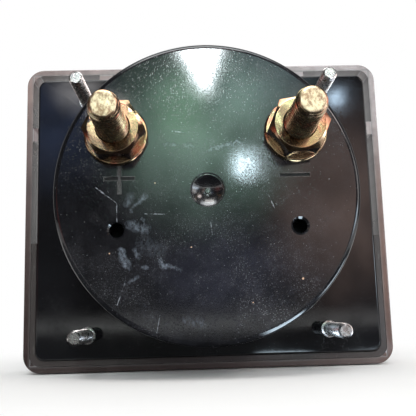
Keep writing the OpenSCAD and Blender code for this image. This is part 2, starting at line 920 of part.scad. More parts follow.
module coil_loop(x_in, x_out, y_in, w) {
    wall = x_out - x_in;
    difference() {
        translate([-x_out, former_front - y_in - wall, -w / 2])
            cube([2 * x_out, former_rear - former_front + 2 * (y_in + wall), w]);
        translate([-x_in, former_front - y_in, -w])
            cube([2 * x_in, former_rear - former_front + 2 * y_in, 2 * w]);
    }
}

module coil_former() {
    color([0.80, 0.80, 0.82])
    moving() coil_loop(former_in, winding_in, 0, coil_w);
}

module coil_winding() {
    color([0.60, 0.25, 0.10])
    moving() coil_loop(winding_in, winding_out, former_t, coil_w - 2 * winding_inset);
}

module rear_pivot() {
    color([0.75, 0.75, 0.77])
    moving() {
        disc_y(staff_base_d / 2, winding_rear, winding_rear + staff_base_t);
        disc_y(staff_d / 2, winding_rear, rear_nose - nose_gap);
        disc_y(collet_r, rear_spring_front - collet_over, rear_spring_front + spring_w + collet_over);
        disc_y(tip_d / 2, winding_rear, rear_nose + nose_in - tip_end_gap);
    }
}

module front_pivot() {
    color([0.75, 0.75, 0.77])
    moving() {
        disc_y(staff_base_d / 2, winding_front - staff_base_t, winding_front);
        disc_y(staff_d / 2, front_nose + nose_gap, winding_front);
        disc_y(collet_r, front_spring_rear - spring_w - collet_over, front_spring_rear + collet_over);
        disc_y(tip_d / 2, front_nose - nose_in + tip_end_gap, winding_front);
    }
}

module pointer() {
    hub_r = staff_d / 2 + pointer_hub_wall;
    needle_w = 0.5 * pointer_w;
    color([0.05, 0.05, 0.05])
    moving()
        difference() {
            union() {
                disc_y(hub_r, hub_front, pointer_rear + hub_over);
                along_y(pointer_front, pointer_rear) {
                    polygon([[-pointer_w / 2, 0], [-needle_w / 2, pointer_l - point_l], [0, pointer_l],
                        [needle_w / 2, pointer_l - point_l], [pointer_w / 2, 0]]);
                    translate([-arm_w / 2, -balance_reach]) square([arm_w, balance_reach]);
                    translate([-balance_reach, -arm_w / 2]) square([2 * balance_reach, arm_w]);
                }
            }
            disc_y(staff_d / 2 + pointer_hub_fit, hub_front - over, pointer_rear + hub_over + over);
        }
}

// A balance weight slid along an arm that points the given way
module balance_weight(turn, r, l) {
    far = balance_reach - arm_w / 2;
    color([0.80, 0.66, 0.36])
    moving()
        translate([0, (pointer_front + pointer_rear) / 2, 0])
            rotate([0, turn, 0])
                translate([0, 0, far - l])
                    difference() {
                        cylinder(r = r, h = l);
                        translate([0, 0, -over]) cylinder(r = weight_bore, h = l + 2 * over);
                    }
}

// Flat spiral whose outer end stands above the pivot
module hairspring(low) {
    steps_per_turn = 24;
    steps = round(steps_per_turn * spring_turns);
    growth = (spring_r - spring_t / 2 - spring_in_r - spring_t / 2) / steps;
    start = 90 - 360 * spring_turns;
    function spiral(i, shift) =
        let (r = spring_in_r + spring_t / 2 + growth * i + shift, a = start + 360 * i / steps_per_turn)
        [r * cos(a), r * sin(a)];
    color([0.70, 0.58, 0.30])
    at_pivot() along_y(low, low + spring_w)
        polygon(concat(
            [for (i = [0:steps]) spiral(i, spring_t / 2)],
            [for (i = [steps:-1:0]) spiral(i, -spring_t / 2)]));
}

// ---------- zero adjuster ----------

module zero_lever() {
    fork_in = zero_pin_d + 2 * fork_gap;
    fork_w = fork_in + 2 * tine_w;
    fork_start = pin_reach - zero_throw - zero_pin_d - fork_end_gap;
    fork_end = pin_reach + zero_pin_d;
    color([0.80, 0.80, 0.82])
    at_pivot() {
        along_y(lever_front, lever_rear)
            difference() {
                union() {
                    circle(jewel_d / 2 + lever_hub_wall);
                    translate([-arm_w, -fork_start]) square([2 * arm_w, fork_start]);
                    translate([-fork_w / 2, -fork_end]) square([fork_w, fork_end - fork_start + tine_w]);
                    translate([-arm_w, 0]) square([2 * arm_w, anchor_reach + anchor_r]);
                }
                circle(jewel_d / 2 + running_gap);
                translate([-fork_in / 2, -fork_end - over]) square([fork_in, fork_end - fork_start + over]);
            }
        at(0, anchor_reach) disc_y(anchor_r, lever_rear - eps, front_spring_rear);
    }
}

module zero_screw() {
    under_head = -front_d - head_gap;
    shoulder = under_head - 0.7 * zero_head_h;
    head_front = under_head - zero_head_h;
    lip_front = apron_rear + lip_gap;
    lip_rear = lip_front + lip_t;
    color([0.07, 0.07, 0.075])
    difference() {
        union() {
            at(0, zero_z) {
                disc_y(zero_head_d / 2, shoulder, under_head);
                cone_y(zero_head_d / 2 - head_bevel, zero_head_d / 2, head_front, shoulder);
                disc_y(zero_shaft_d / 2, under_head - eps, lip_front + eps);
                disc_y(zero_shaft_d / 2 + lip_w, lip_front, lip_rear);
            }
            at(0, zero_z - zero_throw) disc_y(zero_pin_d / 2, lip_rear - eps, lever_rear + free_gap / 2);
        }
        at(0, zero_z)
            translate([0, head_front, 0])
                cube([zero_head_d + over, 2 * slot_deep, slot_w], center = true);
    }
}

// ---------- dial ----------

module dial_plate() {
    height = dial_top - dial_bottom;
    color([0.93, 0.93, 0.91])
    difference() {
        at(0, dial_bottom + height / 2) along_y(dial_front, dial_rear) rounded(dial_w, height, 2);
        for (side = [-1, 1])
            at(side * dial_screw_x, dial_screw_z)
                disc_y(dial_screw_d / 2 + 2 * seat_gap, dial_front - over, dial_rear + over);
    }
}

module dial_screw(side) {
    color([0.72, 0.72, 0.72])
    at(side * dial_screw_x, dial_screw_z)
        slotted_screw(dial_screw_d / 2, dial_t + dial_post_h + dial_bite, dial_screw_d / 2 + screw_rim,
            dial_screw_head_h, dial_front);
}

module pointer_stop(side) {
    color([0.75, 0.75, 0.76])
    at_pivot() at(side * stop_radius * sin(stop_angle), stop_radius * cos(stop_angle))
        disc_y(stop_d / 2, pointer_front - stop_over, dial_front);
}

rear_case();
front_cover();
apron();
mounting_stud(-1, 1);  // mounting_stud_top_left
mounting_stud(1, 1);  // mounting_stud_top_right
mounting_stud(-1, -1);  // mounting_stud_bottom_left
mounting_stud(1, -1);  // mounting_stud_bottom_right
terminal_stud(1);  // terminal_stud_plus
terminal_stud(-1);  // terminal_stud_minus
terminal_washer(1);  // terminal_washer_plus
terminal_washer(-1);  // terminal_washer_minus
terminal_nut(1, 0);  // terminal_nut_plus
terminal_nut(-1, 7);  // terminal_nut_minus
solder_tag(1);  // solder_tag_plus
solder_tag(-1);  // solder_tag_minus
lead_plus();
lead_minus();
movement_frame();
movement_screw(-1);  // movement_screw_left
movement_screw(1);  // movement_screw_right
yoke_ring();
core_magnet();
core_key(1);  // core_key_top
core_key(-1);  // core_key_bottom
rear_bridge();
front_bridge();
rear_bridge_screw(-1);  // rear_bridge_screw_left
rear_bridge_screw(1);  // rear_bridge_screw_right
front_bridge_screw(-1);  // front_bridge_screw_left
front_bridge_screw(1);  // front_bridge_screw_right
jewel_screw(rear_nose, rear_jewel_end);  // rear_jewel_screw
jewel_screw(front_nose, front_jewel_end);  // front_jewel_screw
lock_nut(rear_bridge_rear);  // rear_lock_nut
lock_nut(front_bridge_front - lock_nut_t);  // front_lock_nut
coil_former();
coil_winding();
rear_pivot();
front_pivot();
pointer();
balance_weight(180, weight_r, weight_l);  // tail_weight
balance_weight(-90, side_weight_r, side_weight_l);  // side_weight_low
balance_weight(90, side_weight_r, side_weight_l);  // side_weight_high
hairspring(rear_spring_front);  // rear_hairspring
hairspring(front_spring_rear - spring_w);  // front_hairspring
zero_lever();
zero_screw();
dial_plate();
dial_screw(-1);  // dial_screw_left
dial_screw(1);  // dial_screw_right
pointer_stop(-1);  // pointer_stop_left
pointer_stop(1);  // pointer_stop_right
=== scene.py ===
"""Analog panel meter: a moving-coil movement in a black moulded case, behind a clear front cover.

The panel face of the flange lies at y = 0. The dial faces -Y, and the terminals point to +Y.
Sizes are in millimetres up to the section headed stage, and in metres from there on.
"""

import math
from contextlib import contextmanager

import bpy
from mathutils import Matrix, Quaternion, Vector


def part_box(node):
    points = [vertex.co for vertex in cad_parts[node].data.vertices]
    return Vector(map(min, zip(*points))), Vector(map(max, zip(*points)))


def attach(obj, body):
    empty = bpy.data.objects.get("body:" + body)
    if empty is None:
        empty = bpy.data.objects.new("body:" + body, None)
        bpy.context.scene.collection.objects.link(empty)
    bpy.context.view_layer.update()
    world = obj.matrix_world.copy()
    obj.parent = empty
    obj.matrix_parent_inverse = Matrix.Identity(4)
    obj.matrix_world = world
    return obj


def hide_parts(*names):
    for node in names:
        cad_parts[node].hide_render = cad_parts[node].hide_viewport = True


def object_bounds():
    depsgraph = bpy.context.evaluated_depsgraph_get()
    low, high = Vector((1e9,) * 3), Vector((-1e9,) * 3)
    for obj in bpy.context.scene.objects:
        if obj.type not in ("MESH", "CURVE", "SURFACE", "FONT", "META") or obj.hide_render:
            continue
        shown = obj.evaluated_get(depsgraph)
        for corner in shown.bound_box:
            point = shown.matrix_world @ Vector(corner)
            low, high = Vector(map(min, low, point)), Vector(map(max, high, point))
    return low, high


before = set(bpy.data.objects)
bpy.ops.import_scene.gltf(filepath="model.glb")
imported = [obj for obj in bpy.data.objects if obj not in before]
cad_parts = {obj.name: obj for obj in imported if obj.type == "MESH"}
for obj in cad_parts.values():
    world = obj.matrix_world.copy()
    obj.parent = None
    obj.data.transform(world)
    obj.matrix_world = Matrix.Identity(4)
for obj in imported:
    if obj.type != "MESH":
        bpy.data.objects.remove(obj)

cad_low, cad_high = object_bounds()

MM = 0.001
TURN = 2 * math.pi
SMOOTH = math.radians(32)  # flatter edges are shaded smooth
FLAT = math.radians(0.05)  # faces closer to level with each other become one
DOUBLE = 0.0005            # corners this near to each other are merged
ON_CUT = 0.0001            # corners this near to a cutting plane lie on it

# the rear case
CASE_REAR = 23
FLANGE = (74.6, 62.6, 3.0)
FLANGE_CORNER = 2.0
FLANGE_CHAMFER = 0.4
BARREL_R = 29.0
BARREL_WALL = 1.8
BARREL_Z = 0.7
REAR_WALL = 2.5
EDGE_R = 1.1

# the engraved plus and minus, as strokes: x of the middle, width and height
MARK_X = 16.5
MARK_Z = BARREL_Z + 2.5
MARK_DEPTH = 0.4
LONG, BROAD = 5.7, 0.6
MARK_STROKES = [(MARK_X, LONG, BROAD), (MARK_X, BROAD, LONG), (-MARK_X, LONG, BROAD)]

# the clear cover: half of its width and height, and how thick it is
COVER_HALF = (40, 34)
COVER_WALL = 1.4
COVER_WINDOW = 2.0

STUDS = ["mounting_stud_top_left", "mounting_stud_top_right",
         "mounting_stud_bottom_left", "mounting_stud_bottom_right"]


def span(node):
    """Lowest and highest corner of a CAD node."""
    low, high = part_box(node)
    return Vector(low) / MM, Vector(high) / MM


def ends(node):
    """Lowest and highest y of a CAD node."""
    return tuple(corner.y for corner in span(node))


def middle(node):
    """(x, z) of the axis of a CAD node that is turned about an axis along Y."""
    low, high = span(node)
    return (low.x + high.x) / 2, (low.z + high.z) / 2


# ---------- modelling ----------

def pick(*pieces):
    """Selects only these pieces and makes the first one active."""
    if bpy.context.mode != "OBJECT":
        bpy.ops.object.mode_set(mode="OBJECT")
    bpy.ops.object.select_all(action="DESELECT")
    for piece in pieces:
        piece.select_set(True)
    bpy.context.view_layer.objects.active = pieces[0] if pieces else None


@contextmanager
def editing(piece):
    """Edit mode on one piece, with all of its mesh selected at first."""
    pick(piece)
    bpy.ops.object.mode_set(mode="EDIT")
    bpy.ops.mesh.select_all(action="SELECT")
    yield
    bpy.ops.object.mode_set(mode="OBJECT")


def named(name):
    """Names the piece just added, with its place and size in its mesh."""
    piece = bpy.context.object
    piece.name = name
    piece.data.name = name
    bpy.ops.object.transform_apply(location=True, rotation=True, scale=True)
    return piece


def tidy_mesh(piece):
    """Merges doubles and points every face outwards."""
    with editing(piece):
        bpy.ops.mesh.remove_doubles(threshold=DOUBLE * MM)
        bpy.ops.mesh.normals_make_consistent(inside=False)


def draw(name, outline, x=0, z=0):
    """An open chain of edges through (radius, y) points, beside an axis along Y at (x, z)."""
    pick()
    bpy.ops.mesh.primitive_plane_add(size=MM)
    piece = named(name)
    radius, y = outline[0]
    with editing(piece):
        bpy.ops.mesh.select_mode(type="VERT")
        bpy.ops.mesh.merge(type="CENTER")
        bpy.ops.transform.translate(value=((x + radius) * MM, y * MM, z * MM))
        for (r0, y0), (r1, y1) in zip(outline, outline[1:]):
            step = ((r1 - r0) * MM, (y1 - y0) * MM, 0)
            bpy.ops.mesh.extrude_vertices_move(TRANSFORM_OT_translate={"value": step})
    return piece


def turned(name, outline, x, z, steps):
    """A solid of revolution. An outline that doesn't start on the axis is closed into a ring."""
    ring = outline[0][0] > 0
    piece = draw(name, outline + outline[:1] if ring else outline, x, z)
    with editing(piece):
        bpy.ops.mesh.spin(steps=steps, angle=TURN, center=(x * MM, 0, z * MM), axis=(0, 1, 0))
    tidy_mesh(piece)
    with editing(piece):
        bpy.ops.mesh.dissolve_limited(angle_limit=FLAT)
    return piece


def rod(name, radius, low, high, x, z, steps=48):
    """A plain round bar, for joining to a piece or cutting it."""
    return turned(name, [(0, low), (radius, low), (radius, high), (0, high)], x, z, steps)


def block(name, low, high):
    """A rectangular block between two corners."""
    pick()
    low, high = Vector(low) * MM, Vector(high) * MM
    bpy.ops.mesh.primitive_cube_add(size=1, location=(low + high) / 2, scale=high - low)
    return named(name)


def hexagon(name, corner_r, low, high, x, z, turn=0):
    """A hexagon bar along Y, its corners at the given radius."""
    pick()
    bpy.ops.mesh.primitive_cylinder_add(vertices=6, radius=corner_r * MM, depth=(high - low) * MM,
                                        location=(x * MM, (low + high) / 2 * MM, z * MM),
                                        rotation=(math.pi / 2, math.pi / 6 + turn, 0))
    return named(name)


def bevel(piece, test, width, segments):
    """Rounds or chamfers the edges whose two ends pass the test."""
    with editing(piece):
        bpy.ops.mesh.select_mode(type="EDGE")
        bpy.ops.mesh.select_all(action="DESELECT")
    for edge in piece.data.edges:
        edge.select = test(*(piece.data.vertices[i].co / MM for i in edge.vertices))
    bpy.ops.object.mode_set(mode="EDIT")
    bpy.ops.mesh.bevel(offset=width * MM, segments=segments, affect="EDGES")
    bpy.ops.object.mode_set(mode="OBJECT")


def near(a, b):
    return abs(a - b) < 0.01


def lengthwise(a, b):
    """Whether an edge with these ends runs along Y."""
    return not near(a.y, b.y)


def at_level(y):
    """A test for edges that lie at one y."""
    return lambda a, b: near(a.y, y) and near(b.y, y)


def rounded_block(name, width, height, front, rear, corner):
    """A block centred on the Y axis, whose four corners are rounded as seen from the front."""
    piece = block(name, (-width / 2, front, -height / 2), (width / 2, rear, height / 2))
    bevel(piece, lengthwise, corner, 10)
    return piece


def combine(piece, other, how="DIFFERENCE"):
    """Cuts the other piece out of this one, or joins the two, and uses the other one up."""
    pick(piece)
    modifier = piece.modifiers.new(how.lower(), "BOOLEAN")
    modifier.operation = how
    modifier.object = other
    modifier.solver = "EXACT"
    bpy.ops.object.modifier_apply(modifier=modifier.name)
    bpy.data.meshes.remove(other.data)


def trim(piece, point, normal, beyond=True):
    """Cuts a piece with a plane, closes the cut, and drops what lies beyond it or before it."""
    with editing(piece):
        bpy.ops.mesh.bisect(plane_co=Vector(point) * MM, plane_no=normal, use_fill=True,
                            clear_inner=not beyond, clear_outer=beyond, threshold=ON_CUT * MM)


def move(piece, shift=(0, 0, 0), turn=0, centre=(0, 0, 0)):
    """Turns a piece's mesh about a line along Y through centre, and then shifts it."""
    with editing(piece):
        if turn:
            bpy.ops.transform.rotate(value=turn, orient_axis="Y", center_override=Vector(centre) * MM)
        bpy.ops.transform.translate(value=Vector(shift) * MM)
    return piece


def copy_of(piece, name, shift, turn=0, centre=(0, 0, 0)):
    """A copy with its own mesh, turned and shifted."""
    twin = piece.copy()
    twin.data = piece.data.copy()
    twin.name = name
    twin.data.name = name
    bpy.context.collection.objects.link(twin)
    return move(twin, shift, turn, centre)


def join(pieces, name):
    """Makes one piece of several that lie apart from each other."""
    pick(*pieces)
    bpy.ops.object.join()
    return named(name)


def place(piece, slot, *nodes, finish=None):
    """Finishes a piece of the housing: shading, material, and the nodes that it stands for."""
    tidy_mesh(piece)
    bpy.ops.object.shade_smooth_by_angle(angle=SMOOTH)
    modifier = piece.modifiers.new("weighted", "WEIGHTED_NORMAL")
    modifier.keep_sharp = True
    bpy.ops.object.modifier_apply(modifier=modifier.name)
    piece.data.materials.clear()
    piece.data.materials.append(finish or finishes[slot])
    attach(piece, "housing")
    if nodes:
        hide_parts(*nodes)


# ---------- shader expressions ----------

class Signal:
    """A socket in a node tree. Arithmetic on a number adds Math nodes."""

    def __init__(self, board, socket):
        self.board = board
        self.socket = socket

    def math(self, operation, *values, clamp=False):
        settings = {"operation": operation, "use_clamp": clamp}
        return self.board.node("Math", dict(enumerate(values)), settings)

    def __add__(self, other):
        return self.math("ADD", self, other)

    __radd__ = __add__

    def __sub__(self, other):
        return self.math("SUBTRACT", self, other)

    def __rsub__(self, other):
        return self.math("SUBTRACT", other, self)

    def __mul__(self, other):
        return self.math("MULTIPLY", self, other)

    __rmul__ = __mul__

    def __truediv__(self, other):
        return self.math("DIVIDE", self, other)

    def __abs__(self):
        return self.math("ABSOLUTE", self)

    def __gt__(self, other):
        return self.math("GREATER_THAN", self, other)

    def clamped(self):
        return self.math("ADD", self, 0, clamp=True)


def larger(a, b):
    return a.math("MAXIMUM", a, b)


def smaller(a, b):
    return a.math("MINIMUM", a, b)


def hypotenuse(a, b):
    """How far the point (a, b) is from (0, 0)."""
    return a.math("SQRT", a * a + b * b)


class Board:
    """The emptied node tree of a material or world, in which its look is laid out."""

    def __init__(self, owner):
        owner.use_nodes = True
        self.owner = owner
        self.tree = owner.node_tree
        self.tree.nodes.clear()

    def node(self, kind, inputs=None, settings=None, output=0):
        """Adds a node, with the values or links of its sockets, and its settings."""
        made = self.tree.nodes.new("ShaderNode" + kind)
        for key, value in (settings or {}).items():
            setattr(made, key, value)
        for key, value in (inputs or {}).items():
            socket = made.inputs[key]
            if isinstance(value, Signal):
                self.tree.links.new(value.socket, socket)
            else:
                socket.default_value = (*value, 1) if socket.type == "RGBA" else value
        return Signal(self, made.outputs[output] if len(made.outputs) else None)

    def coordinate(self, kind="Object"):
        return self.node("TexCoord", output=kind)

    def parts(self, vector):
        """The x, y and z of a vector."""
        split = self.node("SeparateXYZ", {0: vector}).socket.node
        return [Signal(self, socket) for socket in split.outputs]

    def spot(self, scale=(1, 1, 1), turn=(0, 0, 0), shift=(0, 0, 0)):
        """Object coordinates, stretched, turned and shifted."""
        return self.node("Mapping", {"Vector": self.coordinate(), "Scale": scale,
                                     "Rotation": turn, "Location": shift})

    def axes(self):
        """(x, y, z) in millimetres."""
        return self.parts(self.spot(scale=(1 / MM, 1 / MM, 1 / MM)))

    def noise(self, vector, scale, detail, roughness=0.55, distortion=0):
        inputs = {"Vector": vector, "Scale": scale, "Detail": detail,
                  "Roughness": roughness, "Distortion": distortion}
        return self.node("TexNoise", inputs)

    def fit(self, value, low, high, to_low=0, to_high=1):
        """Eases a value from one range into another and holds it there."""
        inputs = {"Value": value, "From Min": low, "From Max": high,
                  "To Min": to_low, "To Max": to_high}
        return self.node("MapRange", inputs, {"interpolation_type": "SMOOTHSTEP"})

    def mix(self, mask, base, over):
        """One colour over another, by a mask."""
        return self.node("Mix", {0: mask, 6: base, 7: over}, {"data_type": "RGBA"}, output=2)

    def ramp(self, value, stops):
        """A colour by a value, between (value, colour) stops."""
        shade = self.node("ValToRGB", {0: value})
        elements = shade.socket.node.color_ramp.elements
        while len(elements) < len(stops):
            elements.new(1)
        for element, (position, colour) in zip(elements, stops):
            element.position = position
            element.color = (*colour, 1)
        return shade

    def specks(self, vector, per_metre, radius, share):
        """Round specks of about one size, in only a share of the cells."""
        inputs = {"Vector": vector, "Scale": per_metre}
        distance = self.node("TexVoronoi", inputs, output="Distance")
        colour = self.node("TexVoronoi", inputs, output="Color")
        chance = self.node("SeparateColor", {0: colour})
        return self.fit(distance, 0.6 * radius, radius, 1, 0) * (chance > 1 - share)

    def hairlines(self, turn, spacing, length):
        """Long fine scratches at one angle about Y, broken into stretches."""
        along = self.spot(scale=(1 / (spacing * MM), 40, 1 / (length * MM)), turn=(0, turn, 0))
        line = self.fit(abs(self.noise(along, 1, 2) - 0.5), 0, 0.012, 1, 0)
        return line * self.fit(self.noise(along, 2.3, 1), 0.45, 0.6)

    def bump(self, height, distance):
        return self.node("Bump", {"Height": height, "Distance": distance * MM})

    def ray(self, kind):
        return self.node("LightPath", output=kind)

    def surface(self, shader):
        """Gives the material this shader, and returns it."""
        self.node("OutputMaterial", {"Surface": shader})
        return self.owner

    def principled(self, sockets):
        return self.surface(self.node("BsdfPrincipled", sockets))

    def emission(self, colour, strength):
        return self.node("Emission", {"Color": colour, "Strength": strength})

    def gauze(self, colour, strength):
        """Light that is added to whatever lies behind it."""
        parts = {0: self.emission(colour, strength), 1: self.node("BsdfTransparent")}
        return self.surface(self.node("AddShader", parts))


def new_finish(name):
    return Board(bpy.data.materials.new(name))


# ---------- finishes ----------

def distance_to_line(x, z, start, end):
    """Distance in the XZ plane from a point to a straight stroke."""
    (ax, az), (bx, bz) = start, end
    dx, dz = bx - ax, bz - az
    length2 = dx * dx + dz * dz
    along = (((x - ax) * dx + (z - az) * dz) / length2).clamped()
    return hypotenuse(x - ax - along * dx, z - az - along * dz)


# what handling has left on the rear face, as strokes between (x, z) points:
# smears with a width and a weight, and plain scratches
SMEARS = [((14.9, -1.6), (14.5, -0.4), 1, 0.3), ((14.4, -2.7), (11.6, -0.1), 0.55, 0.5),
          ((14.4, -5.6), (11.8, -6.5), 1.25, 0.42), ((12.3, -4.4), (11.9, -6), 0.4, 0.4),
          ((16.2, -10.4), (15.2, -13.2), 0.95, 0.62), ((13.7, -10.4), (13, -11.6), 0.6, 0.4),
          ((11.9, -9.3), (9.6, -10.6), 2.3, 0.12), ((12.5, -13.5), (11.3, -13.6), 0.4, 0.42),
          ((9.2, -12.1), (8.2, -13.6), 0.55, 0.5), ((7.9, -13.2), (5.4, -14), 0.45, 0.55),
          ((13.2, -15.2), (15.4, -16.5), 0.35, 0.4), ((4.4, -23.4), (1.6, -24), 1.1, 0.2),
          ((7.6, 9.6), (2.6, 9), 0.5, 0.2), ((-0.5, 8.2), (-6, 9.9), 0.5, 0.22)]
SCRATCHES = [((15.6, -16.3), (17, -20.2)), ((9.3, -22.3), (9.9, -25.4)), ((17, -1.3), (17, -4.9)),
             ((20.9, 1.6), (17.2, -1.3)), ((-0.4, -5.4), (-0.6, -7.8)), ((11.8, -3.6), (8.2, -3.7)),
             ((6.4, 12.2), (4.2, 11.8)), ((-11.4, -0.6), (-12.4, -3.1))]
# bits of lint stuck to it, as (x, z, size)
LINT = [(3.3, -10, 0.14), (-17.1, -16.3, 0.25), (9.8, 2.2, 0.12), (18.4, -10.8, 0.14),
        (-7.7, -20.4, 0.12)]


def black_case():
    """Glossy black phenolic with handling marks: dust, fine rubbing, smears and a few scratches, and a
    painted highlight along the edges of the sunk marks.
    """
    board = new_finish("black_case_moulding")
    x, y, z = board.axes()
    here = board.spot()
    rear = board.fit(y, CASE_REAR - 0.8, CASE_REAR - 0.1)
    wobble = board.noise(here, 700, 4, 0.7)
    fine = board.noise(here, 2600, 4, 0.75)
    streaky = board.noise(board.spot(scale=(1, 1, 0.6), turn=(0, -0.6, 0)), 1900, 5, 0.78)

    smears = 0
    for start, end, width, weight in SMEARS:
        away = distance_to_line(x, z, start, end) + 2.2 * (wobble - 0.5)
        smears = larger(board.fit(away, 0, 1.1 * width, weight, 0), smears)
    smears = smears * board.fit(streaky, 0.4, 0.62, 0.1, 1) * rear

    scratches = 0
    for start, end in SCRATCHES:
        away = distance_to_line(x, z, start, end) + 0.5 * (wobble - 0.5)
        scratches = larger(board.fit(away, 0.02, 0.1, 1, 0), scratches)
    scratches = scratches * board.fit(streaky, 0.4, 0.58) * rear

    strokes = [larger(abs(x - mark_x) - width / 2, abs(z - MARK_Z) - height / 2)
               for mark_x, width, height in MARK_STROKES]
    marks = smaller(smaller(strokes[0], strokes[1]), strokes[2])
    sunk = board.fit(y, CASE_REAR - 3, CASE_REAR - 1)
    # painted highlight: a light grey line along the edges of the sunk plus and minus, then joined with dust
    # lying in the plus mark's upright stroke
    mark_edge_highlight_and_dust = board.fit(marks, -0.08, 0) * board.fit(marks, 0.04, 0.2, 1, 0)
    mark_dust = board.fit(strokes[1], -0.12, -0.02, 1, 0) * board.fit(fine, 0.3, 0.55)
    mark_edge_highlight_and_dust = larger(mark_edge_highlight_and_dust * board.fit(wobble, 0.35, 0.6, 0.05, 0.8), mark_dust) * sunk
    mark_floor = board.fit(marks, -0.1, -0.02, 1, 0) * sunk
    dimple = board.fit(hypotenuse(x, z - BARREL_Z), 2.9, 3.1, 1, 0)
    dimple = dimple * board.fit(y, CASE_REAR - 8, CASE_REAR - 3)

    rubbing_and_painted_light = board.fit(board.noise(board.spot(shift=(0.2, 0, 0.1)), 75, 5, 0.7), 0.42, 0.68)
    lower = board.fit(z + 0.25 * abs(x), 2, -14, 0.25, 1) * board.fit(x, 8, 21, 1, 0.35)
    dust = larger(board.specks(here, 1500, 0.12, 0.4), board.specks(here, 3400, 0.3, 0.7) * rubbing_and_painted_light * lower)
    grit = board.specks(board.spot(shift=(0.3, 0.1, 0.2)), 300, 0.035, 0.2) * (0.3 + 0.7 * lower)
    lint = 0
    for lint_x, lint_z, size in LINT:
        away = hypotenuse(x - lint_x, z - lint_z) + 0.5 * (fine - 0.5)
        lint = larger(board.fit(away, 0.6 * size, size, 1, 0), lint)
    lint = lint * rear
    grime = board.fit(board.noise(board.spot(shift=(0.1, 0.4, 0.3)), 260, 7, 0.8), 0.4, 0.8) * lower * rear
    haze = board.fit(board.noise(here, 55, 5, 0.65), 0.3, 0.75)
    brushed = board.noise(board.spot(scale=(1, 1, 0.06), turn=(0, 0.12, 0)), 1500, 3, 0.7)

    colour = board.mix(haze * 0.6, (0.0035, 0.0036, 0.0045), (0.009, 0.0092, 0.0115))
    colour = board.mix(rubbing_and_painted_light * fine * 0.16 * rear, colour, (0.12, 0.12, 0.135))
    colour = board.mix(smears, colour, (0.2, 0.235, 0.29))
    colour = board.mix(scratches * 0.6, colour, (0.3, 0.32, 0.36))
    # painted highlight on the marks' edges, with the dust in the plus mark
    colour = board.mix(mark_edge_highlight_and_dust * 0.5, colour, (0.22, 0.22, 0.22))
    colour = board.mix(grime * streaky * 0.2, colour, (0.15, 0.16, 0.2))
    colour = board.mix(dust * (0.06 + 0.2 * rear), colour, (0.36, 0.37, 0.4))
    colour = board.mix(grit * 0.45, colour, (0.5, 0.5, 0.48))
    colour = board.mix(lint * 0.8, colour, (0.62, 0.42, 0.3))
    rough = 0.035 + 0.04 * haze + 0.09 * rubbing_and_painted_light * fine + 0.3 * smears + 0.3 * dust + 0.5 * mark_floor
    pits = board.specks(board.spot(shift=(0.5, 0.2, 0.9)), 2300, 0.36, 0.7) * rear
    height = (0.3 + 0.7 * rear) * (0.3 * brushed + 0.5 * fine) + dust * 0.3 + scratches * -0.3 + pits * -0.5
    height = height + 15 * dimple * wobble + 5 * dimple * fine
    return board.principled({"Base Color": colour, "Roughness": rough.clamped(), "IOR": 1.52,
                             "Coat Weight": dimple, "Coat Roughness": 0.03,
                             "Normal": board.bump(height, 0.006)})


def clear_cover():
    """Smoked clear styrene, thin over the window and denser where it is seen through its walls, with
    painted shading from dark at the bottom and +x side to light at the top, and painted warm light on the
    -x wall.
    """
    board = new_finish("clear_cover_moulding")
    x, y, z = board.axes()
    here = board.spot()
    half_width, half_height = COVER_HALF

    def outward(inner, outer):
        """Rises from 0 to 1 between two distances in from the cover's outline."""
        return larger(board.fit(abs(x), half_width - inner, half_width - outer),
                      board.fit(abs(z), half_height - inner, half_height - outer))

    side = outward(1.7, 1.45)
    wall = side * board.fit(y, -15.6, -14.2)
    rim = outward(4.5, 2) * (1 - wall) * board.fit(y, -12.4, -13.6)
    ribs = outward(3.8, 3.6) * (1 - side) * board.fit(y, -12.4, -12)
    inside = (1 - outward(1.5, 0.8)) * wall
    dense = board.fit(y, -8.5, -4.5)
    # painted shading: 0 toward the bottom and the +x side, 1 toward the top and the -x side
    painted_light_level = board.fit(z - 0.5 * x, -52, 52)
    worn = board.fit(board.noise(here, 120, 3, 0.6), 0.35, 0.7)
    dust = board.specks(here, 600, 0.07, 0.25)
    streaks = board.noise(board.spot(scale=(1, 0.05, 1)), 160, 3, 0.6)
    # painted shade and light: the walls' colour runs from near black at the bottom to pale grey at the top
    tint_and_painted_light = board.ramp(painted_light_level, [(0, (0.026, 0.014, 0.013)), (0.33, (0.12, 0.088, 0.085)),
                              (0.64, (0.26, 0.19, 0.175)), (1, (0.42, 0.385, 0.39))])
    # painted warm light on the lower part of the -x wall
    painted_warm_light = board.fit(x, -36, -39) * board.fit(z, 26, 0)
    tint_and_painted_light = board.mix(painted_warm_light * 0.7, tint_and_painted_light, (0.11, 0.055, 0.042))
    # painted light: the inner faces of the walls are lighter grey, more so toward the top
    tint_and_painted_light = board.mix(inside * board.fit(painted_light_level, 0.3, 0.9, 0.25, 0.6), tint_and_painted_light, (0.2, 0.21, 0.215))
    tint_and_painted_light = board.mix(board.fit(streaks, 0.35, 0.7) * 0.4, tint_and_painted_light, (0.06, 0.045, 0.044))
    tint_and_painted_light = board.mix(1 - larger(larger(wall, rim), ribs), tint_and_painted_light, (0.5, 0.5, 0.52))
    tint_and_painted_light = board.mix(dust * 0.4, tint_and_painted_light, (0.5, 0.5, 0.48))
    tint_and_painted_light = board.mix(wall * (1 - dense) * 0.7, tint_and_painted_light, (0.3, 0.285, 0.285))
    # the walls also grow a little clearer toward the top, with the painted shading
    alpha = 0.04 + wall * (0.24 + dense * (0.7 - 0.1 * painted_light_level)) + rim * 0.4 + ribs * 0.8 + dust * 0.1
    rough = 0.05 + 0.08 * worn + 0.14 * wall
    return board.principled({"Base Color": tint_and_painted_light, "Roughness": rough, "Alpha": alpha.clamped(), "IOR": 1.5,
                             "Normal": board.bump(board.noise(here, 90, 2), 0.02)})


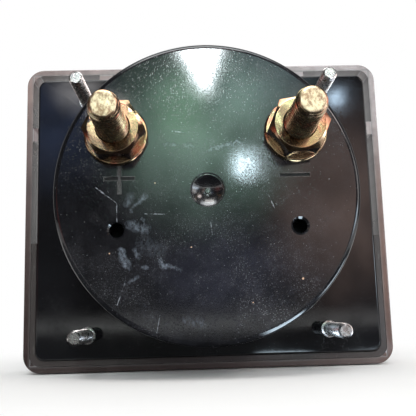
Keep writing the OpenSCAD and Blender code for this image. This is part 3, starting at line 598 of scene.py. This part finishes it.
def black_moulding(name, tone, rough, painted_light_from=99):
    """Black moulded plastic with a faint flow pattern and dust, and painted light: grey-brown behind the
    given y.
    """
    board = new_finish(name)
    y = board.axes()[1]
    here = board.spot()
    haze = board.noise(here, 130, 4, 0.6)
    dust = board.specks(here, 800, 0.09, 0.3)
    hairs = board.hairlines(0.7, 1.8, 9)
    colour = board.mix(board.fit(haze, 0.35, 0.7), (tone, tone, tone * 1.05),
                       (tone * 1.7, tone * 1.7, tone * 1.75))
    # painted light: grey-brown from the given y rearwards, on the apron's rear edge
    rubbing_and_painted_light = board.fit(y, painted_light_from, painted_light_from + 0.3)
    colour = board.mix(rubbing_and_painted_light * (0.5 + 0.5 * haze), colour, (0.05, 0.038, 0.037))
    colour = board.mix(larger(dust * 0.4, hairs * 0.15), colour, (0.3, 0.3, 0.29))
    rough = rough + 0.12 * haze + 0.2 * dust + 0.3 * rubbing_and_painted_light
    return board.principled({"Base Color": colour, "Roughness": rough, "IOR": 1.5,
                             "Normal": board.bump(board.noise(here, 700, 3), 0.012)})


def passivated(name, low, high, side_shade=0, stain=0, tip=99):
    """Yellow chromate on zinc: straw gold over brown, stained, with painted shade darkening its side faces,
    bare on a sheared tip.
    """
    board = new_finish(name)
    y = board.axes()[1]
    here = board.spot()
    cloud = board.noise(here, 260, 3, 0.6, 0.4)
    stops = [(0.3, (0.2, 0.12, 0.08)), (0.45, (0.33, 0.23, 0.14)), (0.56, (0.5, 0.39, 0.23)),
             (0.66, (0.42, 0.37, 0.2)), (0.74, (0.4, 0.21, 0.15))]
    colour = board.ramp(cloud, stops)
    film = board.fit(board.noise(board.spot(shift=(0.04, 0.02, 0.07)), 420, 2, 0.5), 0.53, 0.68)
    colour = board.mix(film * 0.55, colour, (0.55, 0.14, 0.1))
    grime = board.specks(here, 1300, 0.16, 0.35)
    worn = board.fit(board.noise(here, 1900, 4, 0.7), 0.5, 0.75)
    colour = board.mix(grime * 0.5, colour, (0.07, 0.05, 0.035))
    # painted shade: faces turned away from the axis's ends, the sides of studs and nuts, are darkened brown
    facing = abs(board.parts(board.coordinate("Normal"))[1])
    upright = board.fit(facing, 0.5, 0.9, side_shade, 0) * board.fit(cloud, 0.3, 0.6, 1, 0.75)
    colour = board.mix(upright, colour, (0.13, 0.07, 0.05))
    colour = board.mix(stain * board.fit(cloud, 0.4, 0.6, 1, 0.3), colour, (0.2, 0.12, 0.08))
    sheared = board.fit(y, tip - 0.16, tip - 0.06)
    torn = board.noise(board.spot(scale=(1, 1, 0.7), turn=(0, 0.5, 0)), 1300, 5, 0.75)
    bare = board.mix(board.fit(torn, 0.38, 0.62), (0.3, 0.17, 0.11), (0.85, 0.68, 0.48))
    colour = board.mix(sheared * 0.85, colour, bare)
    rough = low + (high - low) * worn + 0.15 * grime + 0.08 * sheared
    height = 0.35 * board.noise(here, 2600, 3, 0.6) + grime * -0.3 + 3 * sheared * torn
    return board.principled({"Base Color": colour, "Metallic": 1, "Roughness": rough,
                             "Normal": board.bump(height, 0.02)})


def metal(name, pale, dark, low, high, grain=1500, depth=0.006):
    """Plated or plain metal whose tone and gloss vary, with fine marks and a little tarnish."""
    board = new_finish(name)
    here = board.spot()
    cloud = board.fit(board.noise(here, 240, 4, 0.6), 0.3, 0.72)
    fine = board.noise(board.spot(scale=(1, 3, 1)), grain, 3, 0.65)
    spots = board.specks(here, 1100, 0.12, 0.25)
    colour = board.mix(cloud, pale, dark)
    colour = board.mix(spots * 0.5, colour, [0.35 * c for c in dark])
    rough = low + (high - low) * board.fit(fine, 0.35, 0.7) + 0.15 * spots
    return board.principled({"Base Color": colour, "Metallic": 1, "Roughness": rough,
                             "Normal": board.bump(fine, depth)})


def winding():
    """Enamelled copper wire, wound in fine turns side by side."""
    board = new_finish("enamelled_copper")
    x = board.axes()[0]
    wire = 0.16
    turns = x.math("SINE", x * (TURN / wire))
    here = board.spot()
    cloud = board.fit(board.noise(here, 420, 3), 0.35, 0.7)
    colour = board.mix(cloud, (0.42, 0.12, 0.04), (0.62, 0.22, 0.08))
    # painted shade: dark brown in the grooves between the turns
    colour = board.mix(board.fit(turns, -1, -0.5, 1, 0) * 0.6, colour, (0.12, 0.03, 0.015))
    return board.principled({"Base Color": colour, "Metallic": 0.75, "Roughness": 0.22 + 0.15 * cloud,
                             "Normal": board.bump(turns, 0.02)})


def paper_white():
    """Satin white lacquer with a fine orange peel and a little yellowing toward its edges."""
    board = new_finish("dial_lacquer")
    x, _, z = board.axes()
    here = board.spot()
    peel = board.noise(here, 1800, 3, 0.5)
    aged = larger(board.fit(abs(x), 20, 36), board.fit(abs(z - 11), 10, 20)) * board.noise(here, 60, 4)
    colour = board.mix(aged * 0.8, (0.8, 0.8, 0.77), (0.72, 0.69, 0.6))
    colour = board.mix(board.specks(here, 420, 0.05, 0.2) * 0.4, colour, (0.3, 0.28, 0.25))
    return board.principled({"Base Color": colour, "Roughness": 0.42 + 0.12 * peel,
                             "Normal": board.bump(peel, 0.006)})


def matt_black(name, tone):
    """Matt black paint or printing ink, a little uneven."""
    board = new_finish(name)
    here = board.spot()
    grain = board.noise(here, 2400, 4, 0.7)
    colour = board.mix(board.fit(grain, 0.3, 0.7), (tone, tone, tone),
                       (2 * tone, 2 * tone, 1.9 * tone))
    return board.principled({"Base Color": colour, "Roughness": 0.5 + 0.2 * grain,
                             "Normal": board.bump(grain, 0.004)})


def insulation(name, colour, shade):
    """Soft wire insulation with a dull bloom."""
    board = new_finish(name)
    here = board.spot()
    bloom = board.noise(here, 700, 4, 0.65)
    tone = board.mix(board.fit(bloom, 0.35, 0.7), colour, shade)
    return board.principled({"Base Color": tone, "Roughness": 0.42 + 0.2 * bloom,
                             "Normal": board.bump(bloom, 0.01)})


BRASS = (0.78, 0.62, 0.33)
OLD_BRASS = (0.56, 0.41, 0.19)
STEEL = (0.66, 0.66, 0.66)
OLD_STEEL = (0.42, 0.41, 0.4)
ALUMINIUM = (0.8, 0.8, 0.81)
OLD_ALUMINIUM = (0.6, 0.6, 0.62)

STUD_TIP = ends("terminal_stud_plus")[1]

finishes = {
    "case_plastic": black_case(),
    "cover_plastic": clear_cover(),
    # the apron's rear edge gets painted light from y = -1.4
    "apron_plastic": black_moulding("black_apron_moulding", 0.008, 0.1, -1.4),
    "zero_screw_plastic": black_moulding("zero_screw_moulding", 0.014, 0.16),
    "frame_plastic": black_moulding("movement_frame_moulding", 0.02, 0.4),
    "stud_steel": metal("bright_zinc_studs", (0.74, 0.72, 0.71), (0.5, 0.45, 0.44), 0.22, 0.36, 1700, 0.02),
    "terminal_metal": passivated("yellow_passivated_studs", 0.24, 0.38, 0.3, tip=STUD_TIP),
    "nut_metal": passivated("yellow_passivated_nuts", 0.12, 0.26, 0.75, 0.63),
    "washer_metal": passivated("yellow_passivated_washers", 0.18, 0.32),
    "tag_brass": metal("tinned_brass", (0.76, 0.72, 0.58), (0.6, 0.55, 0.4), 0.22, 0.4),
    "yoke_steel": metal("zinc_plated_yoke", STEEL, OLD_STEEL, 0.24, 0.4),
    "magnet": metal("ground_magnet", (0.3, 0.3, 0.31), (0.2, 0.19, 0.19), 0.28, 0.5, 1100, 0.012),
    "key_brass": metal("key_brass_bar", BRASS, OLD_BRASS, 0.25, 0.42),
    "bridge_brass": metal("stamped_brass", BRASS, OLD_BRASS, 0.2, 0.36),
    "screw_steel": metal("zinc_plated_screws", STEEL, OLD_STEEL, 0.18, 0.34),
    "jewel_brass": metal("turned_brass", (0.82, 0.67, 0.38), OLD_BRASS, 0.15, 0.28),
    "former_aluminium": metal("coil_former_aluminium", ALUMINIUM, OLD_ALUMINIUM, 0.2, 0.36),
    "winding_copper": winding(),
    "pivot_steel": metal("polished_pivot_steel", (0.72, 0.72, 0.74), (0.58, 0.58, 0.6), 0.08, 0.2,
                         2000, 0.002),
    "pointer_paint": matt_black("pointer_black", 0.014),
    "weight_brass": metal("balance_weight_brass", BRASS, OLD_BRASS, 0.22, 0.36),
    "spring_bronze": metal("hairspring_bronze", (0.7, 0.52, 0.26), (0.5, 0.34, 0.16), 0.18, 0.3),
    "lever_aluminium": metal("stamped_aluminium", ALUMINIUM, OLD_ALUMINIUM, 0.24, 0.4),
    "dial_paint": paper_white(),
    "stop_metal": metal("pointer_stop_wire", ALUMINIUM, OLD_ALUMINIUM, 0.2, 0.34),
    "lead_red": insulation("red_insulation", (0.42, 0.03, 0.025), (0.3, 0.025, 0.02)),
    "lead_black": insulation("black_insulation", (0.02, 0.02, 0.022), (0.045, 0.045, 0.045)),
}
scale_ink = matt_black("scale_ink", 0.012)
black_oxide = metal("black_oxide_screws", (0.008, 0.008, 0.009), (0.004, 0.004, 0.004), 0.4, 0.6)

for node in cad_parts.values():
    for holder in node.material_slots:
        holder.material = finishes[holder.material.name]
for side in ("left", "right"):
    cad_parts["movement_screw_" + side].material_slots[0].material = black_oxide


# ---------- case ----------

def arc(centre, radius, start, end, steps):
    """Points of an arc in the (radius, y) plane, its angles in degrees from the radial direction."""
    points = []
    for i in range(steps + 1):
        angle = math.radians(start + (end - start) * i / steps)
        points.append((centre[0] + radius * math.cos(angle), centre[1] + radius * math.sin(angle)))
    return points


def gate_recess():
    """The round dimple in the middle of the rear face, with the gate's stub at its bottom."""
    outer, ledge, step, deep, stub = 3.15, 2.95, 0.3, 1.0, 0.55
    lip, stub_edge, spare = 0.15, 0.1, 1
    ball = (ledge ** 2 + deep ** 2) / (2 * deep)
    floor = CASE_REAR - step
    rim_angle, stub_angle = (math.degrees(math.asin(r / ball)) - 90 for r in (ledge, stub))
    bowl = arc((0, floor - deep + ball), ball, rim_angle, stub_angle, 14)
    top = floor - deep + 0.3
    outline = [(0, CASE_REAR + spare), (outer + lip, CASE_REAR + spare)]
    outline += arc((outer + lip, CASE_REAR - lip), lip, 90, 180, 4)
    outline += [(outer, floor + 0.1), (outer - 0.06, floor + 0.02)] + bowl
    outline += [(stub, top - stub_edge), (stub - stub_edge, top), (0, top)]
    return turned("gate_tool", outline, 0, BARREL_Z, 128)


def polarity_mark(x):
    """The sunk plus or minus at this x, to be cut into the rear face."""
    bottom = CASE_REAR - MARK_DEPTH
    tools = [block("mark_tool", (x - width / 2, bottom, MARK_Z - height / 2),
                   (x + width / 2, CASE_REAR + MARK_DEPTH, MARK_Z + height / 2))
             for mark_x, width, height in MARK_STROKES if mark_x == x]
    mark = tools[0]
    for tool in tools[1:]:
        combine(mark, tool, "UNION")
    bevel(mark, at_level(bottom), 0.12, 2)
    return mark


def rear_case():
    """The black moulding: a flat flange with a round barrel, hollow and open at the front."""
    width, height, thick = FLANGE
    case = rounded_block("rear_case_moulding", width, height, -thick, 0, FLANGE_CORNER)
    bevel(case, at_level(0), FLANGE_CHAMFER, 3)
    wall = [(0, -1), (BARREL_R, -1), (BARREL_R, 0.5)]
    wall += arc((BARREL_R - EDGE_R, CASE_REAR - EDGE_R), EDGE_R, 0, 90, 8) + [(0, CASE_REAR)]
    combine(case, turned("barrel", wall, 0, BARREL_Z, 192), "UNION")
    spare, bite = 1, 0.5
    inner_rear = CASE_REAR - REAR_WALL
    combine(case, rod("cavity", BARREL_R - BARREL_WALL, -thick - spare, inner_rear, 0, BARREL_Z, 192))

    boss_r, pad_r, post_r = 3.0, 6.5, 2.4
    hole_r, mouth_r, mouth_deep, terminal_r, post_hole_r = 1.35, 1.75, 0.4, 3.1, 0.85
    screw_head, frame_foot, post_hole_end = 1.6, 1.5, -0.8
    boss_x, boss_z = middle("movement_screw_right")
    term_x, term_z = middle("terminal_washer_plus")
    post_x, post_z = middle("dial_screw_right")
    dial_rear = ends("dial_plate")[1]
    boss_front = ends("movement_screw_right")[0] + screw_head + frame_foot
    tag_rear = ends("solder_tag_plus")[1]
    hole = [(0, boss_front - spare), (hole_r, boss_front - spare), (hole_r, CASE_REAR - mouth_deep),
            (mouth_r, CASE_REAR), (mouth_r, CASE_REAR + spare), (0, CASE_REAR + spare)]
    for side in (-1, 1):
        boss, terminal, post = (side * boss_x, boss_z), (side * term_x, term_z), (side * post_x, post_z)
        combine(case, rod("boss", boss_r, boss_front, inner_rear + bite, *boss), "UNION")
        combine(case, rod("pad", pad_r, tag_rear, inner_rear + bite, *terminal), "UNION")
        combine(case, rod("post", post_r, dial_rear, -thick + bite, *post), "UNION")
        combine(case, turned("boss_hole", hole, *boss, 64))
        combine(case, rod("terminal_hole", terminal_r, tag_rear - spare, CASE_REAR + spare, *terminal))
        combine(case, rod("post_hole", post_hole_r, dial_rear - spare, post_hole_end, *post, 32))
    head_r, head_deep, shank_r = 2.8, 1.3, 1.85
    stud_hole = [(0, -thick - spare), (head_r, -thick - spare), (head_r, -thick + head_deep),
                 (shank_r, -thick + head_deep), (shank_r, spare), (0, spare)]
    for name in STUDS:
        combine(case, turned("stud_hole", stud_hole, *middle(name), 48))
    combine(case, gate_recess())
    combine(case, polarity_mark(MARK_X))
    combine(case, polarity_mark(-MARK_X))
    place(case, "case_plastic", "rear_case")


# ---------- fasteners ----------

def thread(name, x, z, low, high, major, pitch, steps):
    """A right-hand thread: one tooth is wound up its axis, and the ends are cut off flat."""
    crest = major / 2
    root = crest - 0.5413 * pitch
    tooth = [(root, 0), (root, pitch / 4), (crest, 0.5625 * pitch), (crest, 0.6875 * pitch), (root, pitch)]
    spare = 2
    start = low - (spare + 0.37 / steps) * pitch  # a part of a step off, so no corner lies on a cut
    piece = draw(name, [(r, y + start) for r, y in tooth])
    pick(piece)
    screw = piece.modifiers.new("screw", "SCREW")
    screw.axis = "Y"
    screw.angle = -TURN
    screw.screw_offset = pitch * MM
    screw.iterations = math.ceil((high - low) / pitch) + 2 * spare
    screw.steps = steps
    screw.render_steps = steps
    screw.use_merge_vertices = False
    bpy.ops.object.modifier_apply(modifier=screw.name)
    tidy_mesh(piece)
    trim(piece, (0, low, 0), (0, 1, 0), beyond=False)
    trim(piece, (0, high, 0), (0, 1, 0))
    tidy_mesh(piece)
    return move(piece, (x, 0, z))


def terminal_stud():
    """The plus terminal's threaded stud, with its hexagon head inside the case."""
    low, high = span("terminal_stud_plus")
    x, z = middle("terminal_washer_plus")
    seat, nut_top = ends("terminal_nut_plus")
    head_rear = ends("solder_tag_plus")[0]
    tip = STUD_TIP
    stud = thread("terminal_stud_plus_threaded", x, z, nut_top - 0.55, tip + 0.5, 6.0, 1.0, 56)
    end = [(0, seat - 1), (3.2, seat - 1), (3.2, nut_top - 0.4), (2.95, nut_top), (2.76, tip - 1.5),
           (2.5, tip - 0.5), (2.4, tip - 0.2), (2.1, tip - 0.07), (1.86, tip), (0, tip)]
    combine(stud, turned("tip_tool", end, x, z, 72), "INTERSECT")
    shank_r, neck_r, core_r = 3.0, 2.675, 2.45
    shank = [(0, head_rear - 0.5), (shank_r, head_rear - 0.5), (shank_r, seat - 0.05), (neck_r, seat + 0.1),
             (neck_r, nut_top - 0.3), (core_r, nut_top - 0.2), (0, nut_top - 0.2)]
    combine(stud, turned("shank", shank, x, z, 72), "UNION")
    head_thick = 4
    head = hexagon("hexagon_head", (high.x - low.x) / 2, head_rear - head_thick, head_rear, x, z)
    combine(stud, head, "UNION")
    return stud


def terminal_nut(side, turn):
    """A hexagon nut with its corners turned off at both ends and a countersunk bore."""
    node = "terminal_nut_" + side
    x, z = middle("terminal_washer_" + side)
    low, high = ends(node)
    across_flats = 10
    nut = hexagon(node + "_chamfered", across_flats / math.sqrt(3), low, high, x, z, turn)
    bevel(nut, lengthwise, 0.12, 3)
    corner, face = 5.8, 4.66
    slope = (corner - face) * math.tan(math.radians(23))
    body = [(0, low), (face, low), (corner, low + slope), (corner, high - slope),
            (face + 0.12, high - 0.09), (face, high - 0.02), (face - 0.1, high), (0, high)]
    combine(nut, turned("corner_tool", body, x, z, 144), "INTERSECT")
    mouth_r, bore_r, spare = 3.2, 2.735, 1
    bore = [(0, low - spare), (mouth_r, low - spare), (mouth_r, low + 0.1), (bore_r, low + 0.5),
            (bore_r, high - 0.55), (3.02, high - 0.26), (3.1, high - 0.08), (mouth_r, high),
            (mouth_r, high + spare), (0, high + spare)]
    combine(nut, turned("bore_tool", bore, x, z, 96))
    place(nut, "nut_metal", node)


def terminal_washer(side):
    """A stamped washer, its outer edges rounded by the press."""
    node = "terminal_washer_" + side
    corner_low, corner_high = span(node)
    low, high = corner_low.y, corner_high.y
    outer = (corner_high.x - corner_low.x) / 2
    bore_r, die_r, break_r = 3.2, 0.25, 0.45
    outline = [(bore_r, low + 0.1), (bore_r + 0.1, low)]
    outline += arc((outer - die_r, low + die_r), die_r, -90, 0, 4)
    outline += arc((outer - break_r, high - break_r), break_r, 0, 90, 6)
    outline += [(bore_r + 0.15, high), (bore_r, high - 0.15)]
    place(turned(node + "_pressed", outline, *middle(node), 128), "washer_metal", node)


def mounting_studs():
    """Four threaded studs, their heads sunk in the flange."""
    first = STUDS[0]
    x, z = middle(first)
    low, high = ends(first)
    thread_low = 0.9
    stud = thread(first + "_threaded", x, z, thread_low, high + 0.3, 3.0, 0.5, 36)
    end = [(0, 0), (1.6, 0), (1.6, high - 0.55), (1.2, high - 0.12), (1.08, high), (0, high)]
    combine(stud, turned("tip_tool", end, x, z, 48), "INTERSECT")
    head_r, head_thick, collar_r, shank_r, core_r, edge = 2.7, 1.3, 1.8, 1.5, 1.25, 0.1
    shank = [(0, low), (head_r - edge, low), (head_r, low + edge), (head_r, low + head_thick - edge),
             (head_r - edge, low + head_thick), (collar_r, low + head_thick), (collar_r, -0.05),
             (shank_r, -0.05), (shank_r, thread_low), (core_r, thread_low + 0.25), (0, thread_low + 0.25)]
    combine(stud, turned("shank", shank, x, z, 64), "UNION")
    for name in STUDS:
        to_x, to_z = middle(name)
        place(copy_of(stud, name + "_threads", (to_x - x, 0, to_z - z)), "stud_steel", name)
    bpy.data.meshes.remove(stud.data)


def terminals():
    stud = terminal_stud()
    x, z = middle("terminal_washer_plus")
    twin = copy_of(stud, "terminal_stud_minus_threaded", (-2 * x, 0, 0), 0.8, (x, 0, z))
    place(stud, "terminal_metal", "terminal_stud_plus")
    place(twin, "terminal_metal", "terminal_stud_minus")
    terminal_nut("plus", 0)
    terminal_nut("minus", math.radians(7))
    terminal_washer("plus")
    terminal_washer("minus")


# ---------- front ----------

def front_cover():
    """The clear cover: a window with rounded edges and four walls, ribbed inside to seat the flange."""
    low, high = ends("front_cover")
    width, height = (2 * half for half in COVER_HALF)
    wall, window, corner = COVER_WALL, COVER_WINDOW, 3.8
    cover = rounded_block("front_cover_moulding", width, height, low, high, corner)
    bevel(cover, at_level(low), 1.4, 6)
    bevel(cover, at_level(high), 0.35, 4)
    spare = 1
    combine(cover, rounded_block("cavity", width - 2 * wall, height - 2 * wall, low + window, spare,
                                 corner - wall))
    seat = (width - FLANGE[0]) / 2 - wall - 0.1
    half_rib, bite, along = 1.5, 0.5, 0.275
    ledge = (low + window - bite, -FLANGE[2], seat + 1)
    guide = (-FLANGE[2] - 0.01, high, seat)
    for side in (-1, 1):
        for upright in (True, False):
            for front, rear, deep in (ledge, guide):
                if upright:
                    x, z = side * (width / 2 - wall), height * along
                    outer, inner = sorted((x + side * bite, x - side * deep))
                    rib = block("rib", (outer, front, z - half_rib), (inner, rear, z + half_rib))
                else:
                    x, z = side * width * along, height / 2 - wall
                    rib = block("rib", (x - half_rib, front, z - deep), (x + half_rib, rear, z + bite))
                combine(cover, rib, "UNION")
    screw_hole = rod("screw_hole", 2.56, low - spare, low + window + spare, *middle("zero_screw"), 64)
    combine(cover, screw_hole)
    place(cover, "cover_plastic", "front_cover")


INK = 0.03


def number(words, at, face):
    """A number in a plain face, standing on the dial and read from the front."""
    height, capital_share = 3.0, 0.7
    pick()
    bpy.ops.object.text_add(location=(0, 0, 0))
    text = bpy.context.object
    text.data.body = words
    text.data.size = height / capital_share * MM
    text.data.align_x = "CENTER"
    text.data.align_y = "CENTER"
    text.data.extrude = INK / 2 * MM
    bpy.ops.object.convert(target="MESH")
    text.rotation_euler = (math.pi / 2, 0, 0)
    text.location = (at.x * MM, (face - INK / 2) * MM, at.z * MM)
    return named("number_" + words)


def dial_print():
    """The printed scale: an arc with fifty divisions, and numbers at every tenth."""
    pivot = Vector((0, 0, middle("front_pivot")[1]))
    face = ends("dial_plate")[0]
    sweep, divisions, radius, half_line = 90, 50, 33.0, 0.15
    inner, outer = radius - half_line, radius + half_line
    line = [(inner, face - INK), (outer, face - INK), (outer, face), (inner, face)]
    band = turned("scale_arc", line, 0, pivot.z, 360)
    for side in (-1, 1):
        trim(band, pivot, (side, 0, -1))
    marks = [band]
    for i in range(divisions + 1):
        angle = math.radians(sweep * (i / divisions - 0.5))
        length, width = (2.6, 0.5) if i % 10 == 0 else (2.0, 0.32) if i % 5 == 0 else (1.3, 0.2)
        low = pivot.z + radius
        tick = block("tick", (-width / 2, face - INK, low), (width / 2, face, low + length))
        marks.append(move(tick, turn=-angle, centre=pivot))
        if i % 10 == 0:
            away = radius + 4.6
            at = pivot + Vector((away * math.sin(angle), 0, away * math.cos(angle)))
            marks.append(number(str(i), at, face))
    place(join(marks, "scale_print"), "dial_paint", finish=scale_ink)


# ---------- stage ----------

FLOOR = cad_low[2] - 0.0002


def camera():
    """Behind the meter, a little below its middle, looking slightly up at the rear face."""
    bpy.ops.object.camera_add(location=(0.00309, 0.14095, -0.02177))
    eye = bpy.context.object
    aim = Vector((-0.00056, 0, 0.00094))
    level = (aim - eye.location).to_track_quat("-Z", "Y")
    eye.rotation_mode = "QUATERNION"
    eye.rotation_quaternion = level @ Quaternion((0, 0, 1), math.radians(-1.61))
    eye.data.lens = 55.475
    eye.data.sensor_width = 36
    eye.data.clip_start = 0.005
    eye.data.clip_end = 20
    bpy.context.scene.camera = eye


def face_meter(made, axis):
    """Points one axis of a lamp or sheet at the meter's middle."""
    made.rotation_mode = "QUATERNION"
    made.rotation_quaternion = (-made.location).to_track_quat(axis, "Y")


def lamp(name, at, size, power, colour):
    """A soft rectangular lamp that no camera sees."""
    bpy.ops.object.light_add(type="AREA", location=at)
    made = bpy.context.object
    made.name = name
    made.data.shape = "RECTANGLE"
    made.data.size, made.data.size_y = size
    made.data.energy = power
    made.data.color = colour
    face_meter(made, "-Z")
    made.visible_camera = False


def sheet(name, at, side, size=(1, 1)):
    """A level square sheet, stretched by size."""
    pick()
    bpy.ops.mesh.primitive_plane_add(size=side, location=at)
    made = bpy.context.object
    made.name = name
    made.scale = (*size, 1)
    return made


def stage(made, material, mirrored_only=False):
    """Puts a sheet on the stage, out of the camera's sight or of all but mirrored light."""
    made.data.materials.append(material)
    made.visible_camera = False
    if mirrored_only:
        made.visible_diffuse = False
        made.visible_shadow = False
        made.visible_transmission = False


def card(name, at, size, strength, colour, edge=0.5, patchy=0.4):
    """A glowing gauze, faded toward its edges, that faces the meter."""
    made = sheet(name, at, 1, size)
    face_meter(made, "Z")
    board = new_finish(name + "_light")
    here = board.coordinate()
    x, y, _ = board.parts(here)
    patches = board.fit(board.noise(here, 5.5, 3, 0.6), 0.3, 0.7, 1 - patchy, 1 + patchy)
    glow = board.fit(hypotenuse(x, y) * 2, 1 - edge, 1, strength, 0) * patches
    stage(made, board.gauze(colour, glow))


def fan_light():
    """A bright window that narrows downwards."""
    made = sheet("narrow_window", (-0.008, 0.582, 0.25), 0.06)
    for corner in made.data.vertices:
        if corner.co.y < 0:
            corner.co.x = 0.08 * corner.co.x - 0.008
        else:
            corner.co.x *= 0.95
    face_meter(made, "Z")
    board = new_finish("narrow_window_light")
    stage(made, board.surface(board.emission((0.9, 0.97, 1), 70)))


def flag():
    """Black velvet on the floor behind the meter."""
    velvet = new_finish("black_velvet").principled({"Base Color": (0.002, 0.002, 0.002), "Roughness": 1})
    stage(sheet("black_flag", (0.03, 0.155, FLOOR + 0.0005), 0.3), velvet, mirrored_only=True)


def reflector(name, at, size, strength, colour):
    """A level glowing strip, faded toward its edges."""
    board = new_finish(name + "_light")
    x, y, _ = board.parts(board.coordinate())
    glow = board.fit(abs(x), 0.25, 0.5, strength, 0) * board.fit(abs(y), 0.3, 0.5, 1, 0)
    stage(sheet(name, at, 1, size), board.gauze(colour, glow), mirrored_only=True)


def surroundings():
    """White to the camera, a plain even light on everything, and darker behind the meter's back."""
    world = bpy.data.worlds.new("studio")
    bpy.context.scene.world = world
    board = Board(world)
    depth = board.parts(board.coordinate("Generated"))[1]
    glossy = board.ray("Is Glossy Ray")
    seen = larger(board.ray("Is Camera Ray"), board.ray("Is Transmission Ray"))
    plain = 0.78
    mirrored = board.fit(depth, -0.9, 0, 0.34, 0.06)
    level = glossy * mirrored + (1 - glossy) * plain
    level = seen + (1 - seen) * level
    light = board.node("Background", {"Color": (1, 1, 1), "Strength": level})
    board.node("OutputWorld", {"Surface": light})


def floor():
    """A pale floor that holds the meter's shadow and fades into the white round it."""
    board = new_finish("pale_floor")
    x, y, _ = board.parts(board.coordinate())
    far = board.fit(hypotenuse(x, y), 0.035, 0.12)
    grain = board.noise(board.spot(), 60, 3)
    pale = board.mix(grain, (0.84, 0.84, 0.84), (0.86, 0.86, 0.86))
    matt = board.node("BsdfPrincipled", {"Base Color": pale, "Roughness": 1, "Specular IOR Level": 0})
    white = board.emission((1, 1, 1), 1)
    both = board.node("MixShader", {0: far * board.ray("Is Camera Ray"), 1: matt, 2: white})
    made = sheet("floor", (0, 0, FLOOR), 8)
    made.data.materials.append(board.surface(both))


camera()
surroundings()
floor()
fan_light()
flag()
lamp("small_lamp", (-0.058, 0.605, 0.139), (0.02, 0.02), 0.075, (0.74, 0.91, 1))
lamp("blue_lamp", (-0.163, 0.551, 0.212), (0.016, 0.016), 0.02, (0.6, 0.8, 1))
lamp("ceiling", (0.05, 0.35, 0.6), (0.4, 0.26), 1.5, (1, 0.98, 0.95))
reflector("low_strip", (-0.0205, 0.029, FLOOR + 0.001), (0.018, 0.019), 15, (0.7, 0.87, 1))
reflector("low_side_strip", (-0.064, 0.028, FLOOR + 0.001), (0.06, 0.02), 8, (0.75, 0.88, 1))
reflector("top_panel", (0, 0.15, 0.5), (0.6, 0.3), 5, (0.92, 0.97, 1))
card("upper_glow", (0.135, 0.6, 0.25), (0.09, 0.09), 3, (1, 0.97, 0.95), 0.8)
card("upper_right_wall", (-0.34, 0.38, 0.3), (0.22, 0.22), 9, (1, 0.88, 0.84))
card("low_wall", (-0.23, 0.18, 0), (0.2, 0.06), 7, (0.7, 0.85, 1), 0.6)
card("left_tip_glow", (0.092, 0.6, 0.197), (0.05, 0.042), 18, (1, 0.96, 0.9), 0.6, 0)
card("right_tip_glow", (-0.13, 0.6, 0.197), (0.045, 0.036), 8, (1, 0.95, 0.85), 0.7, 0)
card("right_wall", (-0.42, 0.2, 0.1), (0.34, 0.35), 2.6, (1, 0.95, 0.92), 0.6)
card("green_wall", (-0.014, 0.6, 0.185), (0.27, 0.29), 5.2, (0.43, 0.7, 0.56), 0.85, 0.6)
card("green_glow", (0.012, 0.6, 0.2), (0.09, 0.13), 2.6, (0.5, 1, 0.6), 0.9, 0.3)
card("low_blue", (-0.03, 0.6, 0.02), (0.2, 0.14), 0.6, (0.5, 0.55, 0.85), 0.8)
card("teal_wall", (-0.08, 0.6, 0.24), (0.2, 0.16), 1.9, (0.5, 0.7, 0.78), 0.8)
card("brown_wall", (-0.17, 0.6, 0.1), (0.24, 0.32), 1.7, (0.85, 0.6, 0.52), 0.85)
card("blue_wall", (0.16, 0.6, 0.2), (0.22, 0.2), 0.7, (0.3, 0.45, 0.9), 0.8)
card("red_wall", (0.36, 0.4, 0.02), (0.3, 0.24), 0.6, (0.8, 0.12, 0.08), 0.6)

rear_case()
terminals()
mounting_studs()
front_cover()
dial_print()

view_settings = bpy.context.scene.view_settings
view_settings.view_transform = "Standard"
